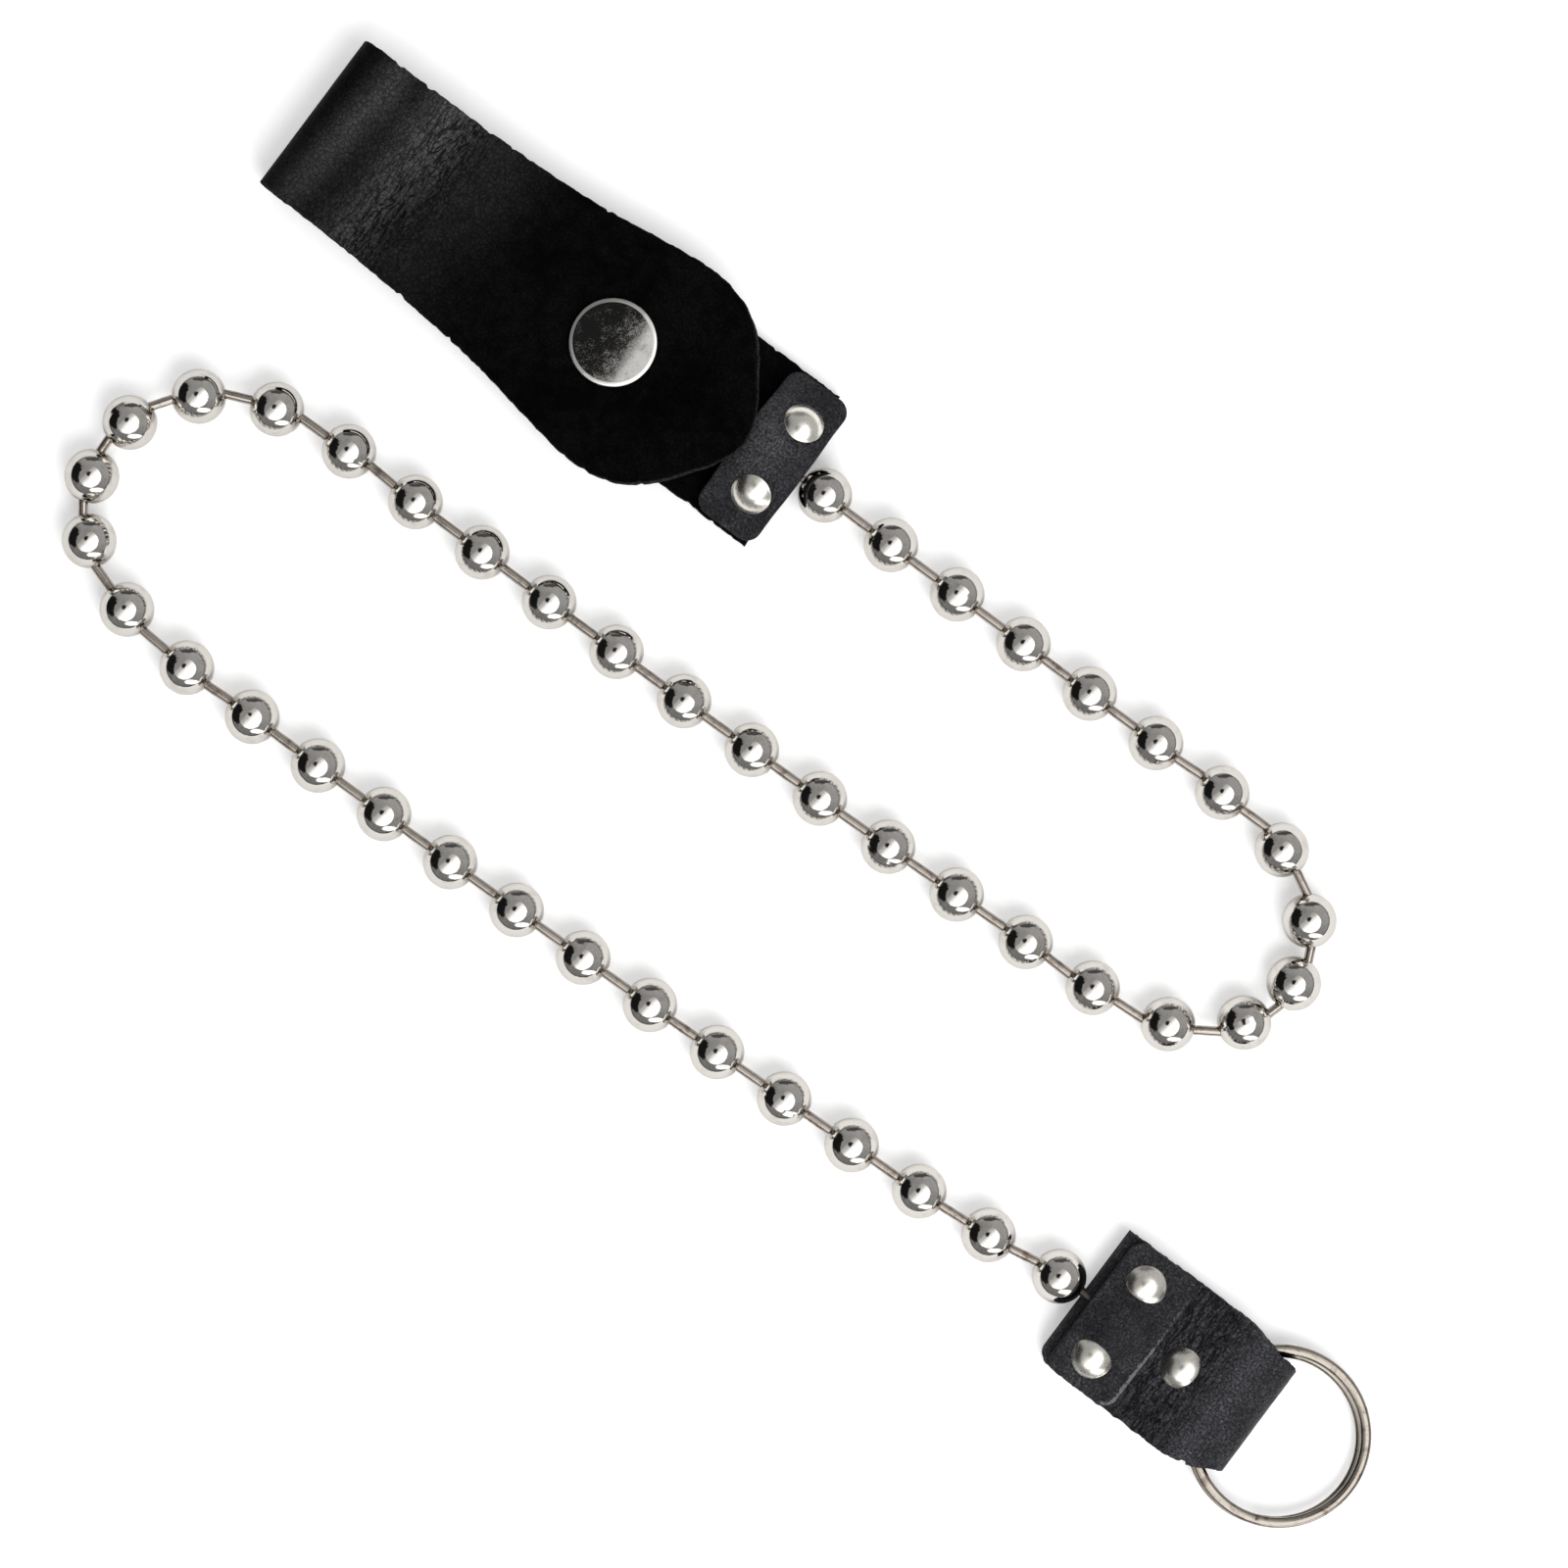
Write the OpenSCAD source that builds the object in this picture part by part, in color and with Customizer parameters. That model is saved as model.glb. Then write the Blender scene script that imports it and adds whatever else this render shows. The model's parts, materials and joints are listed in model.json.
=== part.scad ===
// Ball chain with a snap-on leather belt strap at one end and a leather key fob at the other.
// Millimetres.  X runs along the strap, Y across it, Z is up, and the table is at Z = 0.
// The origin is on the table, under the middle of the whole layout.
// Node names: ball_01 is the link next to the belt strap and ball_44 the one next to the fob.

/* [Belt strap] */
// Place of the strap's fold along X
strap_x = -143.9; // [-150:0.1:-140]
// Place of the strap's centre line along Y
strap_y = 40; // [35:0.1:42]
// Width of the strap
strap_w = 31; // [27:0.5:37]
// Length of the lower layer, fold to cut end
strap_len = 105; // [103:0.5:107]
// Thickness of the strap leather
strap_t = 2.4; // [1.8:0.1:2.8]
// Height of the closed fold, outside
fold_h = 11.6; // [10:0.2:14]
// Length of the upper layer, fold to tongue tip
flap_len = 94.8; // [93:0.2:95]
// Width of the tongue at its widest
tongue_w = 41.4; // [34:0.2:48]
// Small skew of the upper layer on the lower one, degrees
flap_skew = -0.9; // [-2:0.1:2]

/* [Snap fastener] */
// Distance from the fold to the snap
snap_reach = 66; // [60:0.5:70]
// Diameter of the snap's cap
snap_cap_d = 15.6; // [12:0.2:17]
// Diameter of the stud's knob
snap_knob_d = 5.4; // [4.4:0.2:6]
// Side clearance between the knob and the socket
snap_clear = 0.4; // [0.3:0.05:0.6]

/* [Belt tab] */
// Length of the tab patch along the strap
tab_len = 12.6; // [11.6:0.2:12.6]
// Thickness of the tab and fob patches
patch_t = 1.8; // [1.4:0.1:2.2]
// Distance from the tab's centre line to each tab rivet
tab_rivet_y = 7.6; // [7.2:0.1:9]
// Lean of the tab rivets' caps away from the trapped ball, degrees
tab_rivet_lean = 28; // [20:1:32]

/* [Ball chain] */
// Diameter of a ball
ball_d = 9.5; // [9:0.1:9.8]
// Thickness of the ball's sheet metal
ball_wall = 0.4; // [0.3:0.05:0.5]
// Diameter of a pin's shank
pin_d = 1.7; // [1.5:0.05:1.8]
// Diameter of a pin's head
pin_head_d = 2.7; // [2.6:0.05:2.8]
// Diameter of the hole that the next pin swings in
hole_d = 2.3; // [2.2:0.05:2.4]

/* [Fob] */
// Length of the folded fob
fob_len = 37.6; // [36:0.2:42]
// Width of the fob
fob_w = 28; // [24:0.5:34]
// Width of the fob at its fold
fob_fold_w = 20.6; // [16:0.2:24]
// Thickness of the fob leather
fob_t = 2.4; // [1.8:0.1:2.6]
// Height of the fob's folded end
fob_fold_h = 8.4; // [8:0.1:9]

/* [Rivets] */
// Diameter of a rivet's domed cap
rivet_d = 7.3; // [6:0.1:7.6]
// Height of a rivet's domed cap
rivet_h = 1.7; // [1.2:0.1:2.2]
// Diameter of a rivet's post
rivet_post_d = 2.4; // [2:0.1:3]

/* [Key ring] */
// Outside diameter of the split ring
ring_d = 32; // [30:0.5:34]
// Width of the ring's wire, seen from above
ring_wire_w = 1.9; // [1.6:0.1:2.1]
// Height of one of the ring's two turns
ring_wire_h = 1.3; // [1:0.1:1.35]
// Droop of the ring's outer side, degrees
ring_tilt = 2; // [0:0.5:2.5]

/* [Hidden] */
$fn = 48;
leather_black = [0.07, 0.07, 0.075];
leather_grey = [0.16, 0.16, 0.17];
nickel = [0.78, 0.77, 0.74];

// The chain as it lies: [links, gap between the balls, turn before each link in degrees]
chain_runs = [
    [1, 2.1, 0], [6, 4.85, 0],
    [1, 4.8, -7], [1, 3.7, -25], [1, 1.7, -35], [1, 1.5, -38], [1, 3.7, -37], [1, 5, -27],
    [1, 4.6, -8.5], [10, 5, -0.3],
    [1, 5, 7], [1, 4.2, 21], [1, 3.3, 30], [1, 1.9, 34], [1, 1.7, 33], [1, 4.1, 31],
    [1, 5, 17], [1, 4.7, 7.5],
    [10, 4.7, 0.25], [2, 4.7, 2], [1, 3.9, -6.5]
];
link_pitch = [for (run = chain_runs, i = [1:run[0]]) run[1] + ball_d];
link_turn = [for (run = chain_runs, i = [1:run[0]]) run[2]];
links = len(link_pitch);
ball_r = ball_d / 2;
wall_r = ball_r - ball_wall / 2;
// Distance between the centres of a pin's two heads
pin_len = 9.3;
// Share of a pin's hidden length that is inside its own ball
held_share = 0.45;
// Side clearance of a pin in the hole of its own ball
held_clear = 0.1;

// Gap under the lower leather layers, taken up by the thin back plates of the rivets and the snap
back_h = 0.8;
fob_back_h = 0.6;
back_d = 6.4;
// Length over which a layer dips or climbs beside a fold
strap_dip = 9;
fold_r = fold_h / 2;
base_top = back_h + strap_t;
snap_x = strap_x + snap_reach;
snap_y = strap_y + snap_reach * sin(flap_skew);
snap_flat = 8;
// Parts of the snap, upward from the lower layer
snap_collar_h = 0.8;
snap_knob_h = 1.9;
snap_socket_h = 2.5;
snap_gap = 0.35;
snap_socket_z = base_top + snap_collar_h + snap_gap;
flap_z = snap_socket_z + snap_socket_h;
snap_post_d = 3.4;
snap_cap_h = 1.5;
// Height of the domed part of the snap's cap
snap_dome_h = 0.6;
// Diameters of the socket, of the stud's collar and of the post's back plate
snap_socket_d = 12.4;
snap_collar_d = 12;
snap_back_d = 11;
// Distances from the lower layer's cut end back to the trapped ball and to the tab rivets
trap_in = 5.7;
tab_rivet_in = 4.4;
trap_reach = strap_len - trap_in;
tab_rivet_reach = strap_len - tab_rivet_in;
// Top of the raised leather over the trapped ball
crown_z = ball_d + 0.15 + patch_t;
tab_ball = [strap_x + trap_reach, strap_y];
tab_x = strap_x + strap_len + 0.9 - tab_len / 2;
tab_w = strap_w - 1.2;
tab_end_z = ball_r + patch_t + 1.9;
tip_gap = 0.5;
corner_r = 2.8;

heading = [for (i = 0, a = link_turn[0]; i < links; i = i + 1, a = a + (i < links ? link_turn[i] : 0)) a];
step_to = [for (i = [0:links - 1]) link_pitch[i] * along(heading[i])];
ball_at = [for (i = 0, p = tab_ball; i <= links; p = p + (i < links ? step_to[i] : [0, 0]), i = i + 1) p];
// Direction of a ball's two holes: midway between the pins that enter and leave it
hole_angle = [for (i = [0:links]) (heading[max(i - 1, 0)] + heading[min(i, links - 1)]) / 2];

fob_ball = ball_at[links];
fob_angle = heading[links - 1];
// Distance from the fob's open end to its trapped ball
fob_ball_in = 8.1;
fob_ramp_x = 21.6;
fob_ramp = 5;
fob_fold_r = fob_fold_h / 2;
// Gap between the two layers of the folded fob
layer_gap = 0.1;
fob_stack = fob_back_h + 2 * fob_t + layer_gap;
fob_patch_t = patch_t + 0.4;
// Clearance of the fob's leather around its trapped ball
fob_ball_clear = 0.06;
fob_patch_x = 1.4;
fob_patch_len = 14;
fob_rivet_x = 7.4;
fob_rivet_y = 7.7;
loop_rivet_x = 21;
loop_rivet_lean = -10;
loop_rivet_rise = 0.55;
ring_x = 41.9;
ring_y = 0.6;
ring_z = 3.65;
// Where the lower turn is split, and how much further round the upper one is
ring_split_angle = -67;
ring_split_step = 16;
ring_split = 0.5;

CHAIN = [for (i = [1:links - 1]) str("ball_", i < 10 ? "0" : "", i)];

function along(a) = [cos(a), sin(a)];
function ease(t) = t <= 0 ? 0 : t >= 1 ? 1 : (1 - cos(180 * t)) / 2;
function mix(a, b, t) = a + (b - a) * t;
function reversed(p) = [for (i = [len(p) - 1:-1:0]) p[i]];
function mirrored(p) = [for (q = reversed(p)) [q[0], -q[1]]];
function heading_of(p, i) =
    let(d = p[min(i + 1, len(p) - 1)] - p[max(i - 1, 0)])
    d / norm(d);
function side_of(p, off) = [for (i = [0:len(p) - 1]) let(d = heading_of(p, i)) p[i] + off * [-d[1], d[0]]];
// Smooth curve through hand-placed points
function spline(a, b, c, d, t) =
    0.5 * (2 * b + (c - a) * t + (2 * a - 5 * b + 4 * c - d) * t * t + (3 * b - a - 3 * c + d) * t * t * t);
function curve(p, steps) = concat(
    [for (i = [0:len(p) - 2], s = [0:steps - 1])
        spline(p[max(i - 1, 0)], p[i], p[i + 1], p[min(i + 2, len(p) - 1)], s / steps)],
    [p[len(p) - 1]]
);

// Height of the middle of the upper layer at a distance x from the fold
function flap_height(x) =
    let(level = flap_z + strap_t / 2)
    x < snap_reach
        ? mix(fold_h - strap_t / 2, level, ease((x - fold_r - 0.5) / (snap_reach - snap_flat - fold_r)))
        : mix(level, tip_z, ease((x - snap_reach - snap_flat) / (flap_len - snap_reach - snap_flat)));
// Half the width of the upper layer: [share of its length, share of the way to the tongue's half width]
tongue_flare = [[0, 0], [0.2, 0.04], [0.38, 0.17], [0.53, 0.41], [0.655, 0.78], [0.76, 1]];
// The tongue's nose: [share of its length, share of the tongue's half width]
tongue_nose = [[0.84, 0.945], [0.9, 0.77], [0.95, 0.49], [0.986, 0.24], [1, 0]];
function tongue_side() = curve(concat(
    [for (p = tongue_flare) [p[0] * flap_len, mix(strap_w, tongue_w, p[1]) / 2]],
    [for (p = tongue_nose) [p[0] * flap_len, p[1] * tongue_w / 2]]
), 4);

// Height of the tab patch across the strap, at a distance y from its centre line
tab_flank = [[0, 1], [2.5, 0.93], [5, 0.745], [7.6, 0.51], [10.2, 0.28], [12.5, 0.09], [14.2, 0]];
function tab_side() = curve([for (p = tab_flank) [p[0], mix(base_top + patch_t, crown_z, p[1])]], 3);
function tab_top() = concat([for (p = reversed(tab_side())) [-p[0], p[1]]], tab_side());
// Height of the tab patch along the strap, at a distance x from the trapped ball
tab_ridge = [[-8, -0.1], [-6, 0], [-3.6, 0.62], [0, 1], [3.6, 0.62], [6.6, 0], [8, -0.1]];
function tab_long() = curve([for (p = tab_ridge) [p[0], mix(tab_end_z, crown_z, p[1])]], 3);
tip_z = mix(tab_end_z, crown_z, 0.45) + tip_gap + strap_t / 2;
function tab_rivet_z() = mix(base_top + patch_t, crown_z, 0.51) - 0.15;

// A strip of leather of thickness t, whose middle follows the path, w wide across it
module strip(path, t, w) {
    rotate([90, 0, 0])
        linear_extrude(w, center = true)
            polygon(concat(side_of(path, t / 2), reversed(side_of(path, -t / 2))));
}

module rounded(x, y, r) {
    for (ix = [-1, 1])
        translate([ix * (x / 2 - r), 0])
            square([2 * r, y - 2 * r], center = true);
    square([x - 2 * r, y], center = true);
    for (ix = [-1, 1], iy = [-1, 1])
        translate([ix * (x / 2 - r), iy * (y / 2 - r)])
            circle(r);
}

// Domed cap standing on z = 0
module dome(d, h) {
    bend_r = (d * d / 4 + h * h) / (2 * h);
    half_angle = asin(d / 2 / bend_r);
    steps = 12;
    arc = [for (i = [steps:-1:1])
        let(a = half_angle * i / steps)
        [bend_r * sin(a), h - bend_r * (1 - cos(a))]];
    rotate_extrude($fn = 96)
        polygon(concat([[0, 0]], arc, [[0, h]]));
}

// Room for a rivet's cap above its base plane
module cap_room() {
    cylinder(rivet_h + 6, d = rivet_d + 0.05);
}

// Rivet from a flat back plate on the table up to a cap at height z that leans about X or Y
module rivet(z, lean_x, lean_y, back) {
    translate([0, 0, z])
        rotate([lean_x, lean_y, 0])
            dome(rivet_d, rivet_h);
    difference() {
        translate([0, 0, back])
            cylinder(z + 2 - back, d = rivet_post_d);
        translate([0, 0, z])
            rotate([lean_x, lean_y, 0])
                cap_room();
    }
    cylinder(back, d = back_d);
}

// A cap's place on the tab: side is 1 or -1
module at_tab_rivet(side) {
    translate([strap_x + tab_rivet_reach, strap_y + side * tab_rivet_y])
        children();
}

module at_fob() {
    translate([fob_ball[0], fob_ball[1]])
        rotate(fob_angle)
            translate([-fob_ball_in, 0])
                children();
}

module strap_base() {
    path = concat(
        [[fold_r, strap_t / 2]],
        [for (i = [0:10]) [fold_r + 0.5 + i * strap_dip / 10, strap_t / 2 + back_h * ease(i / 10)]],
        [[strap_len, strap_t / 2 + back_h]]
    );
    seat_r = sqrt(pow(ball_r, 2) - pow(ball_r - base_top, 2));
    color(leather_black)
        difference() {
            translate([strap_x, strap_y])
                strip(path, strap_t, strap_w);
            translate([tab_ball[0], tab_ball[1], -1])
                cylinder(base_top + 2, r = seat_r);
            translate([snap_x, snap_y, -1])
                cylinder(base_top + 2, d = snap_post_d);
            for (side = [-1, 1])
                at_tab_rivet(side)
                    translate([0, 0, -1])
                        cylinder(base_top + 2, d = rivet_post_d);
        }
}

// Half a tube that joins the two layers
module strap_fold() {
    color(leather_black)
        translate([strap_x + fold_r, strap_y, fold_r])
            rotate([90, 0, 0])
                linear_extrude(strap_w, center = true)
                    intersection() {
                        difference() {
                            circle(fold_r, $fn = 96);
                            circle(fold_r - strap_t, $fn = 96);
                        }
                        translate([-fold_h, -fold_h])
                            square([fold_h, 2 * fold_h]);
                    }
}

module strap_flap() {
    path = concat(
        [[fold_r, fold_h - strap_t / 2]],
        [for (i = [0:32]) let(x = mix(fold_r + 0.5, flap_len + 1, i / 32)) [x, flap_height(x)]]
    );
    color(leather_black)
        difference() {
            intersection() {
                translate([strap_x, strap_y])
                    strip(path, strap_t, tongue_w + 4);
                translate([strap_x, strap_y])
                    rotate(flap_skew)
                        linear_extrude(40)
                            polygon(concat(tongue_side(), mirrored(tongue_side())));
            }
            translate([snap_x, snap_y, flap_z - 1])
                cylinder(strap_t + 2, d = snap_post_d);
        }
}

module snap_cap() {
    color(nickel)
        translate([snap_x, snap_y, flap_z]) {
            translate([0, 0, strap_t])
                cylinder(snap_cap_h - snap_dome_h, d = snap_cap_d);
            translate([0, 0, strap_t + snap_cap_h - snap_dome_h])
                dome(snap_cap_d - 0.8, snap_dome_h);
            cylinder(strap_t, d = snap_post_d);
        }
}

module snap_socket() {
    bore_d = snap_knob_d + 2 * snap_clear;
    color(nickel)
        translate([snap_x, snap_y, snap_socket_z])
            difference() {
                cylinder(snap_socket_h, d = snap_socket_d);
                translate([0, 0, -1])
                    cylinder(snap_socket_h + 0.3, d = bore_d);
            }
}

module snap_stud() {
    color(nickel)
        translate([snap_x, snap_y, base_top])
            difference() {
                union() {
                    cylinder(snap_collar_h, d = snap_collar_d);
                    cylinder(snap_collar_h + snap_knob_h - 0.6, d = snap_knob_d - 0.6);
                    translate([0, 0, snap_collar_h + snap_knob_h - 1])
                        cylinder(1, d = snap_knob_d);
                }
                translate([0, 0, -1])
                    cylinder(1 + snap_collar_h, d = snap_post_d);
            }
}

module snap_post() {
    color(nickel)
        translate([snap_x, snap_y]) {
            cylinder(back_h, d = snap_back_d);
            cylinder(base_top + snap_collar_h, d = snap_post_d);
        }
}

// Solid mound under the tab patch's surface, lowered by drop, from the height floor_z up
module tab_mound(drop, floor_z) {
    across = tab_top();
    long = tab_long();
    last = len(long) - 1;
    intersection() {
        translate([tab_x - 12, strap_y, 0])
            rotate([90, 0, 90])
                linear_extrude(24)
                    polygon(concat(
                        [[-tab_w, floor_z]],
                        [[-tab_w, across[0][1] - drop]],
                        [for (p = across) [p[0], p[1] - drop]],
                        [[tab_w, across[0][1] - drop]],
                        [[tab_w, floor_z]]
                    ));
        translate([tab_ball[0], strap_y, 0])
            rotate([90, 0, 0])
                linear_extrude(2 * tab_w, center = true)
                    polygon(concat(
                        [[long[0][0], floor_z]],
                        [for (p = long) [p[0], p[1] - drop]],
                        [[long[last][0], floor_z]]
                    ));
    }
}

module tab_patch() {
    color(leather_grey)
        difference() {
            intersection() {
                tab_mound(0, base_top);
                translate([tab_x, strap_y])
                    linear_extrude(40)
                        rounded(tab_len, tab_w, corner_r);
            }
            tab_mound(patch_t + 0.02, base_top - 2);
            translate([tab_ball[0], tab_ball[1], ball_r])
                sphere(ball_r, $fn = 96);
            for (side = [-1, 1])
                at_tab_rivet(side) {
                    cylinder(20, d = rivet_post_d);
                    translate([0, 0, tab_rivet_z()])
                        rotate([-side * tab_rivet_lean, 0, 0])
                            cap_room();
                }
        }
}

module tab_rivets() {
    color(nickel)
        for (side = [-1, 1])
            at_tab_rivet(side)
                rivet(tab_rivet_z(), -side * tab_rivet_lean, 0, back_h);
}

// Hollow ball about the origin, with the hole that the next pin swings in unless open is false.
// Its two holes lie along the angle given.
module shell(angle, open) {
    rotate(angle)
        difference() {
            rotate(90)
                sphere(ball_r, $fn = 64);
            rotate(90)
                sphere(ball_r - ball_wall, $fn = 64);
            if (open)
                rotate([0, 90, 0])
                    cylinder(ball_r + 1, d = hole_d);
        }
}

// Middle of the hole by which pin i leaves ball i - 1, and of the hole by which it enters ball i
function hole_out(i) = ball_at[i - 1] + wall_r * along(hole_angle[i - 1]);
function hole_in(i) = ball_at[i] - wall_r * along(hole_angle[i]);
function held_depth(i) = held_share * (pin_len - norm(hole_in(i) - hole_out(i)));

// Puts things at pin i's held head, with Z along the pin towards ball i - 1
module at_pin(i) {
    reach = hole_in(i) - hole_out(i);
    held = hole_in(i) + held_depth(i) * reach / norm(reach);
    translate([held[0], held[1], ball_r])
        rotate([0, -90, atan2(reach[1], reach[0])])
            children();
}

// The pin of link i: one head held in ball i, the other free to swing inside ball i - 1
module pin(i) {
    at_pin(i) {
        cylinder(pin_len, d = pin_d);
        sphere(d = pin_head_d);
        translate([0, 0, pin_len])
            sphere(d = pin_head_d);
    }
}

// Link i: ball i and the pin that joins it to ball i - 1
module link(i) {
    color(nickel) {
        difference() {
            translate([ball_at[i][0], ball_at[i][1], ball_r])
                shell(hole_angle[i], i < links);
            at_pin(i)
                cylinder(2 * held_depth(i) + 1, d = pin_d + 2 * held_clear);
        }
        pin(i);
    }
}

module tab_ball() {
    color(nickel)
        translate([tab_ball[0], tab_ball[1], ball_r])
            shell(hole_angle[0], true);
}

// Outline of the fob from above, from its open end at x = 0 to its fold
module fob_plan() {
    half = fob_w / 2;
    nip = half - fob_fold_w / 2;
    side = [
        [0, half - 0.2],
        [12, half - 0.05],
        [fob_len - 11, half - 0.05],
        [fob_len - 4.6, half - 0.38 * nip],
        [fob_len - 2.4, half - 0.9 * nip],
        [fob_len + 1, half - nip]
    ];
    polygon(concat(side, mirrored(side)));
}

module fob_strap() {
    fold_x = fob_len - fob_fold_r;
    bend_r = fob_fold_r - fob_t / 2;
    low = fob_back_h + fob_t / 2;
    high = fob_stack - fob_t / 2;
    fold_top = fob_fold_h - fob_t / 2;
    path = concat(
        [[0, low]],
        [for (i = [0:8]) [fob_ramp_x + i * fob_ramp / 8, mix(low, fob_t / 2, ease(i / 8))]],
        [for (a = [-90:15:90]) [fold_x + bend_r * cos(a), fob_fold_r + bend_r * sin(a)]],
        [for (i = [8:-1:0]) [fob_ramp_x + i * fob_ramp / 8, mix(high, fold_top, ease(i / 8))]],
        [[0, high]]
    );
    color(leather_grey)
        difference() {
            at_fob()
                intersection() {
                    strip(path, fob_t, fob_w);
                    linear_extrude(20)
                        fob_plan();
                }
            translate([fob_ball[0], fob_ball[1], -1])
                cylinder(20, d = ball_d + 0.2);
            fob_pin_room();
            at_fob() {
                for (side = [-1, 1])
                    translate([fob_rivet_x, side * fob_rivet_y, -1])
                        cylinder(20, d = rivet_post_d);
                translate([loop_rivet_x, 0, -1])
                    cylinder(20, d = rivet_post_d);
                translate([loop_rivet_x, 0, fob_stack + loop_rivet_rise])
                    rotate([0, loop_rivet_lean, 0])
                        cap_room();
                translate([loop_rivet_x, 0, -1])
                    cylinder(fob_back_h + 1, d = back_d);
            }
        }
}

// Room for the last pin on its way through the fob's open end to the trapped ball
module fob_pin_room() {
    at_fob()
        translate([-1, 0, ball_r])
            rotate([0, 90, 0])
                cylinder(fob_ball_in + 1, d = pin_d + 0.8);
}

module fob_patch() {
    crown_r = ball_r + 0.9;
    color(leather_grey)
        difference() {
            union() {
                at_fob()
                    translate([fob_patch_x + fob_patch_len / 2, 0, fob_stack])
                        linear_extrude(fob_patch_t)
                            rounded(fob_patch_len, fob_w - 0.6, corner_r);
                intersection() {
                    translate([fob_ball[0], fob_ball[1], ball_r])
                        sphere(crown_r, $fn = 96);
                    translate([fob_ball[0], fob_ball[1], fob_stack])
                        cylinder(10, r = crown_r);
                }
            }
            translate([fob_ball[0], fob_ball[1], ball_r])
                sphere(ball_r + fob_ball_clear, $fn = 96);
            fob_pin_room();
            at_fob()
                for (side = [-1, 1])
                    translate([fob_rivet_x, side * fob_rivet_y, 0]) {
                        cylinder(20, d = rivet_post_d);
                        translate([0, 0, fob_stack + fob_patch_t])
                            cap_room();
                    }
        }
}

module fob_rivets() {
    color(nickel)
        at_fob() {
            for (side = [-1, 1])
                translate([fob_rivet_x, side * fob_rivet_y])
                    rivet(fob_stack + fob_patch_t, 0, 0, fob_back_h);
            translate([loop_rivet_x, 0])
                rivet(fob_stack + loop_rivet_rise, 0, loop_rivet_lean, fob_back_h);
        }
}

module split_ring() {
    join = 0.04;
    turn_h = ring_wire_h + join;
    inside = ring_d / 2 - ring_wire_w - 1;
    color(nickel)
        at_fob()
            translate([ring_x, ring_y, ring_z])
                rotate([0, ring_tilt, 0])
                    difference() {
                        rotate_extrude($fn = 128)
                            for (turn = [-1, 1])
                                translate([ring_d / 2 - ring_wire_w / 2, turn * ring_wire_h / 2])
                                    rounded(ring_wire_w, turn_h, 0.4);
                        for (turn = [0, 1])
                            rotate(ring_split_angle + ring_split_step * turn)
                                translate([inside, -ring_split / 2, -turn * turn_h])
                                    cube([ring_wire_w + 2, ring_split, turn_h]);
                    }
}

strap_base();
strap_fold();
strap_flap();
snap_cap();
snap_socket();
snap_stud();
snap_post();
tab_patch();
tab_rivets();
tab_ball();
for (i = [1:links - 1])
    link(i);
link(links);  // fob_ball
fob_strap();
fob_patch();
fob_rivets();
split_ring();
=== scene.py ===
"""Ball chain with a leather belt strap, closed by a snap, at one end and a leather key fob at the other.

Metres.  X runs along the strap, Y across it, Z is up, and the table is at Z = 0.
"""

import json
import math

import bmesh
import bpy
import numpy as np
from mathutils import Euler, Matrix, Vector, noise
from mathutils.bvhtree import BVHTree

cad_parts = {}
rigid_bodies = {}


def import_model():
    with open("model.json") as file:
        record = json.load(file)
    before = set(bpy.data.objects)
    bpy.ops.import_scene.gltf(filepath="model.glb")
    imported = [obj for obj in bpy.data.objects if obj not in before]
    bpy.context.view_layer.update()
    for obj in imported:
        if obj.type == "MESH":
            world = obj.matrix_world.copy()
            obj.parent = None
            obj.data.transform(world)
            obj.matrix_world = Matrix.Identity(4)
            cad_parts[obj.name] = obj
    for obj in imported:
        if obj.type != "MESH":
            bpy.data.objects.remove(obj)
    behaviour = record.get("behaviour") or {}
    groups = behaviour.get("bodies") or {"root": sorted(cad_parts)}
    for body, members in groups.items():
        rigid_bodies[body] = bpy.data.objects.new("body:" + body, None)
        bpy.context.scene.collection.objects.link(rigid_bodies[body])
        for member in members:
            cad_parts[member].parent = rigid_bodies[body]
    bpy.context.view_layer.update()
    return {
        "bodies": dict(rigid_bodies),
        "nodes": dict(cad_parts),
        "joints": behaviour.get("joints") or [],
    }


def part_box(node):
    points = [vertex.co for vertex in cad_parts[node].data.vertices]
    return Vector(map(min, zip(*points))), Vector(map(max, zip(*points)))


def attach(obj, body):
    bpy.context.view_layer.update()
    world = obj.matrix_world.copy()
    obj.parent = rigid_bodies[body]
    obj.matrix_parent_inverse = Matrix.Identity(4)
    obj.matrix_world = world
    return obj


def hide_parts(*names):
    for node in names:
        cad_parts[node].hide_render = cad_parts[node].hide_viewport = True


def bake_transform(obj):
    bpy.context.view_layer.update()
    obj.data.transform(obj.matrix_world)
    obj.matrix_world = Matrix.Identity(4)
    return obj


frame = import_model()
MM = 0.001


def in_scene(name, data):
    """A new object in the scene."""
    piece = bpy.data.objects.new(name, data)
    bpy.context.scene.collection.objects.link(piece)
    return piece


# ---------------------------------------------------------------- node trees

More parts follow.
